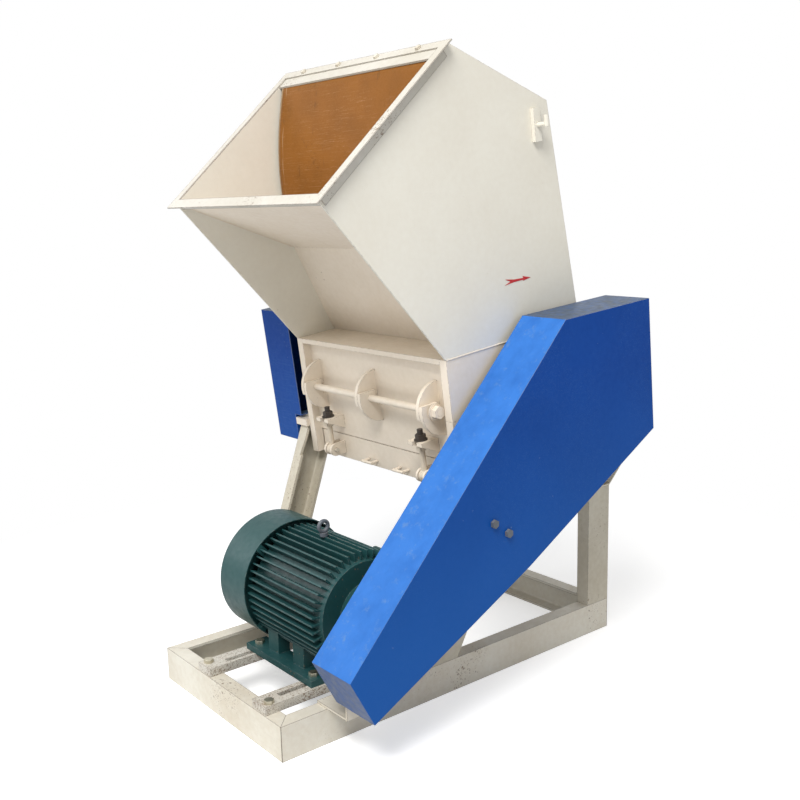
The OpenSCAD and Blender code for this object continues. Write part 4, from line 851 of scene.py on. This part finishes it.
# %% Make the arrow
SIDE_X = 0.3806
FILM_T = 0.0004
OUTLINE = [
    (0.130, 1.2335), (0.154, 1.2440), (0.132, 1.2515), (0.170, 1.2495), (0.208, 1.2520),
    (0.205, 1.2575), (0.240, 1.2520), (0.207, 1.2435), (0.209, 1.2465), (0.170, 1.2420),
]
arrow_red = painted(
    "arrow red paint", (0.56, 0.020, 0.028), (0.48, 0.018, 0.024), (0.60, 0.50, 0.42), 0.45,
    dust=0.05, wear=0.2, scratches=0.6, soft_edge=0.0005,
)
maker = bmesh.new()
face = maker.faces.new([maker.verts.new((SIDE_X, y, z)) for y, z in OUTLINE])
face.normal_update()
bmesh.ops.triangulate(maker, faces=[face], ngon_method="EAR_CLIP")
arrow = new_piece("direction_arrow", maker, arrow_red, FILM_T)
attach(arrow, "hopper")
print("arrow length:", round(max(y for y, z in OUTLINE) - min(y for y, z in OUTLINE), 3))

# %% [markdown]
# ## The world
# The photograph has a plain white surround.
# Camera, mirror and glass rays see a white world, while softer light reaches the machine from it.

# %% Light the world
WHITE = (1.0, 1.0, 1.0, 1.0)
WORLD_LIGHT, WORLD_SEEN = 0.5, 1.0

world = bpy.data.worlds.new("pale studio")
bpy.context.scene.world = world
world.use_nodes = True
sky = world.node_tree
sky.nodes.clear()
rays = place(sky, "LightPath").outputs
mirrored = maths(sky, "MAXIMUM", rays["Is Glossy Ray"], rays["Is Transmission Ray"])
seen = maths(sky, "MAXIMUM", rays["Is Camera Ray"], mirrored)
strength = remap(sky, seen, 0.0, 1.0, WORLD_LIGHT, WORLD_SEEN)
glow = place(sky, "Background", {"Color": WHITE, "Strength": strength})
place(sky, "OutputWorld", {"Surface": glow.outputs[0]})
print("world strength for light:", WORLD_LIGHT)

# %% [markdown]
# ## The floor
# Near the machine the floor adds a little glow to a matt surface, which still holds the shadow.
# Further off it turns plain white, so that no horizon shows.
# A curved backdrop would hide the horizon too, but it would need moving for every view.

# %% Lay the floor
FLOOR_REACH = 30
FLOOR_SHADE = (0.85, 0.85, 0.85, 1.0)
FLOOR_GLOW = 0.45
FADE_BAND = (1.3, 2.2)

signs = [(-1, -1), (1, -1), (1, 1), (-1, 1)]
corners = [(x * FLOOR_REACH, y * FLOOR_REACH, 0) for x, y in signs]
floor_mesh = bpy.data.meshes.new("studio_floor")
floor_mesh.from_pydata(corners, [], [(0, 1, 2, 3)])
floor = bpy.data.objects.new("studio_floor", floor_mesh)
bpy.context.collection.objects.link(floor)

pale = bpy.data.materials.new("pale floor")
pale.use_nodes = True
ground = pale.node_tree
ground.nodes.clear()
matt = place(ground, "BsdfDiffuse", {"Color": FLOOR_SHADE}).outputs[0]
lit = place(ground, "Emission", {"Color": WHITE, "Strength": FLOOR_GLOW}).outputs[0]
plain = place(ground, "Emission", {"Color": WHITE, "Strength": 1.0}).outputs[0]
position = place(ground, "NewGeometry").outputs["Position"]
far_off = place(ground, "VectorMath", {0: position}, operation="LENGTH").outputs["Value"]
near = place(ground, "AddShader", {0: matt, 1: lit}).outputs[0]
fade = place(ground, "MixShader", {0: remap(ground, far_off, *FADE_BAND), 1: near, 2: plain}).outputs[0]
to_camera = place(ground, "LightPath").outputs["Is Camera Ray"]
view_or_light = place(ground, "MixShader", {0: to_camera, 1: matt, 2: fade})
place(ground, "OutputMaterial", {"Surface": view_or_light.outputs[0]})
floor_mesh.materials.append(pale)
print("floor glow:", FLOOR_GLOW)

# %% [markdown]
# ## Lamps
# A large warm lamp high at the front right gives the bright slopes and the soft shadow.
# A weak cool one at the left keeps the far side from going dull.
# Each row holds a place, the point that the lamp faces, its size in metres, its power in watts and its tint.

# %% Hang the lamps
LAMPS = {
    "key_lamp": [(2.3, -3.3, 5.6), (0, 0.1, 0.9), 2.6, 345, (1.0, 0.99, 0.97)],
    "fill_lamp": [(-3.4, -3.0, 2.4), (0, 0, 0.9), 3.0, 40, (0.97, 0.985, 1.0)],
}
for name, (at, aim, size, power, tint) in LAMPS.items():
    light = bpy.data.lights.new(name, "AREA")
    light.shape = "SQUARE"
    light.size = size
    light.energy = power
    light.color = tint
    holder = bpy.data.objects.new(name, light)
    holder.location = at
    holder.rotation_euler = (Vector(aim) - Vector(at)).to_track_quat("-Z", "Y").to_euler()
    bpy.context.collection.objects.link(holder)
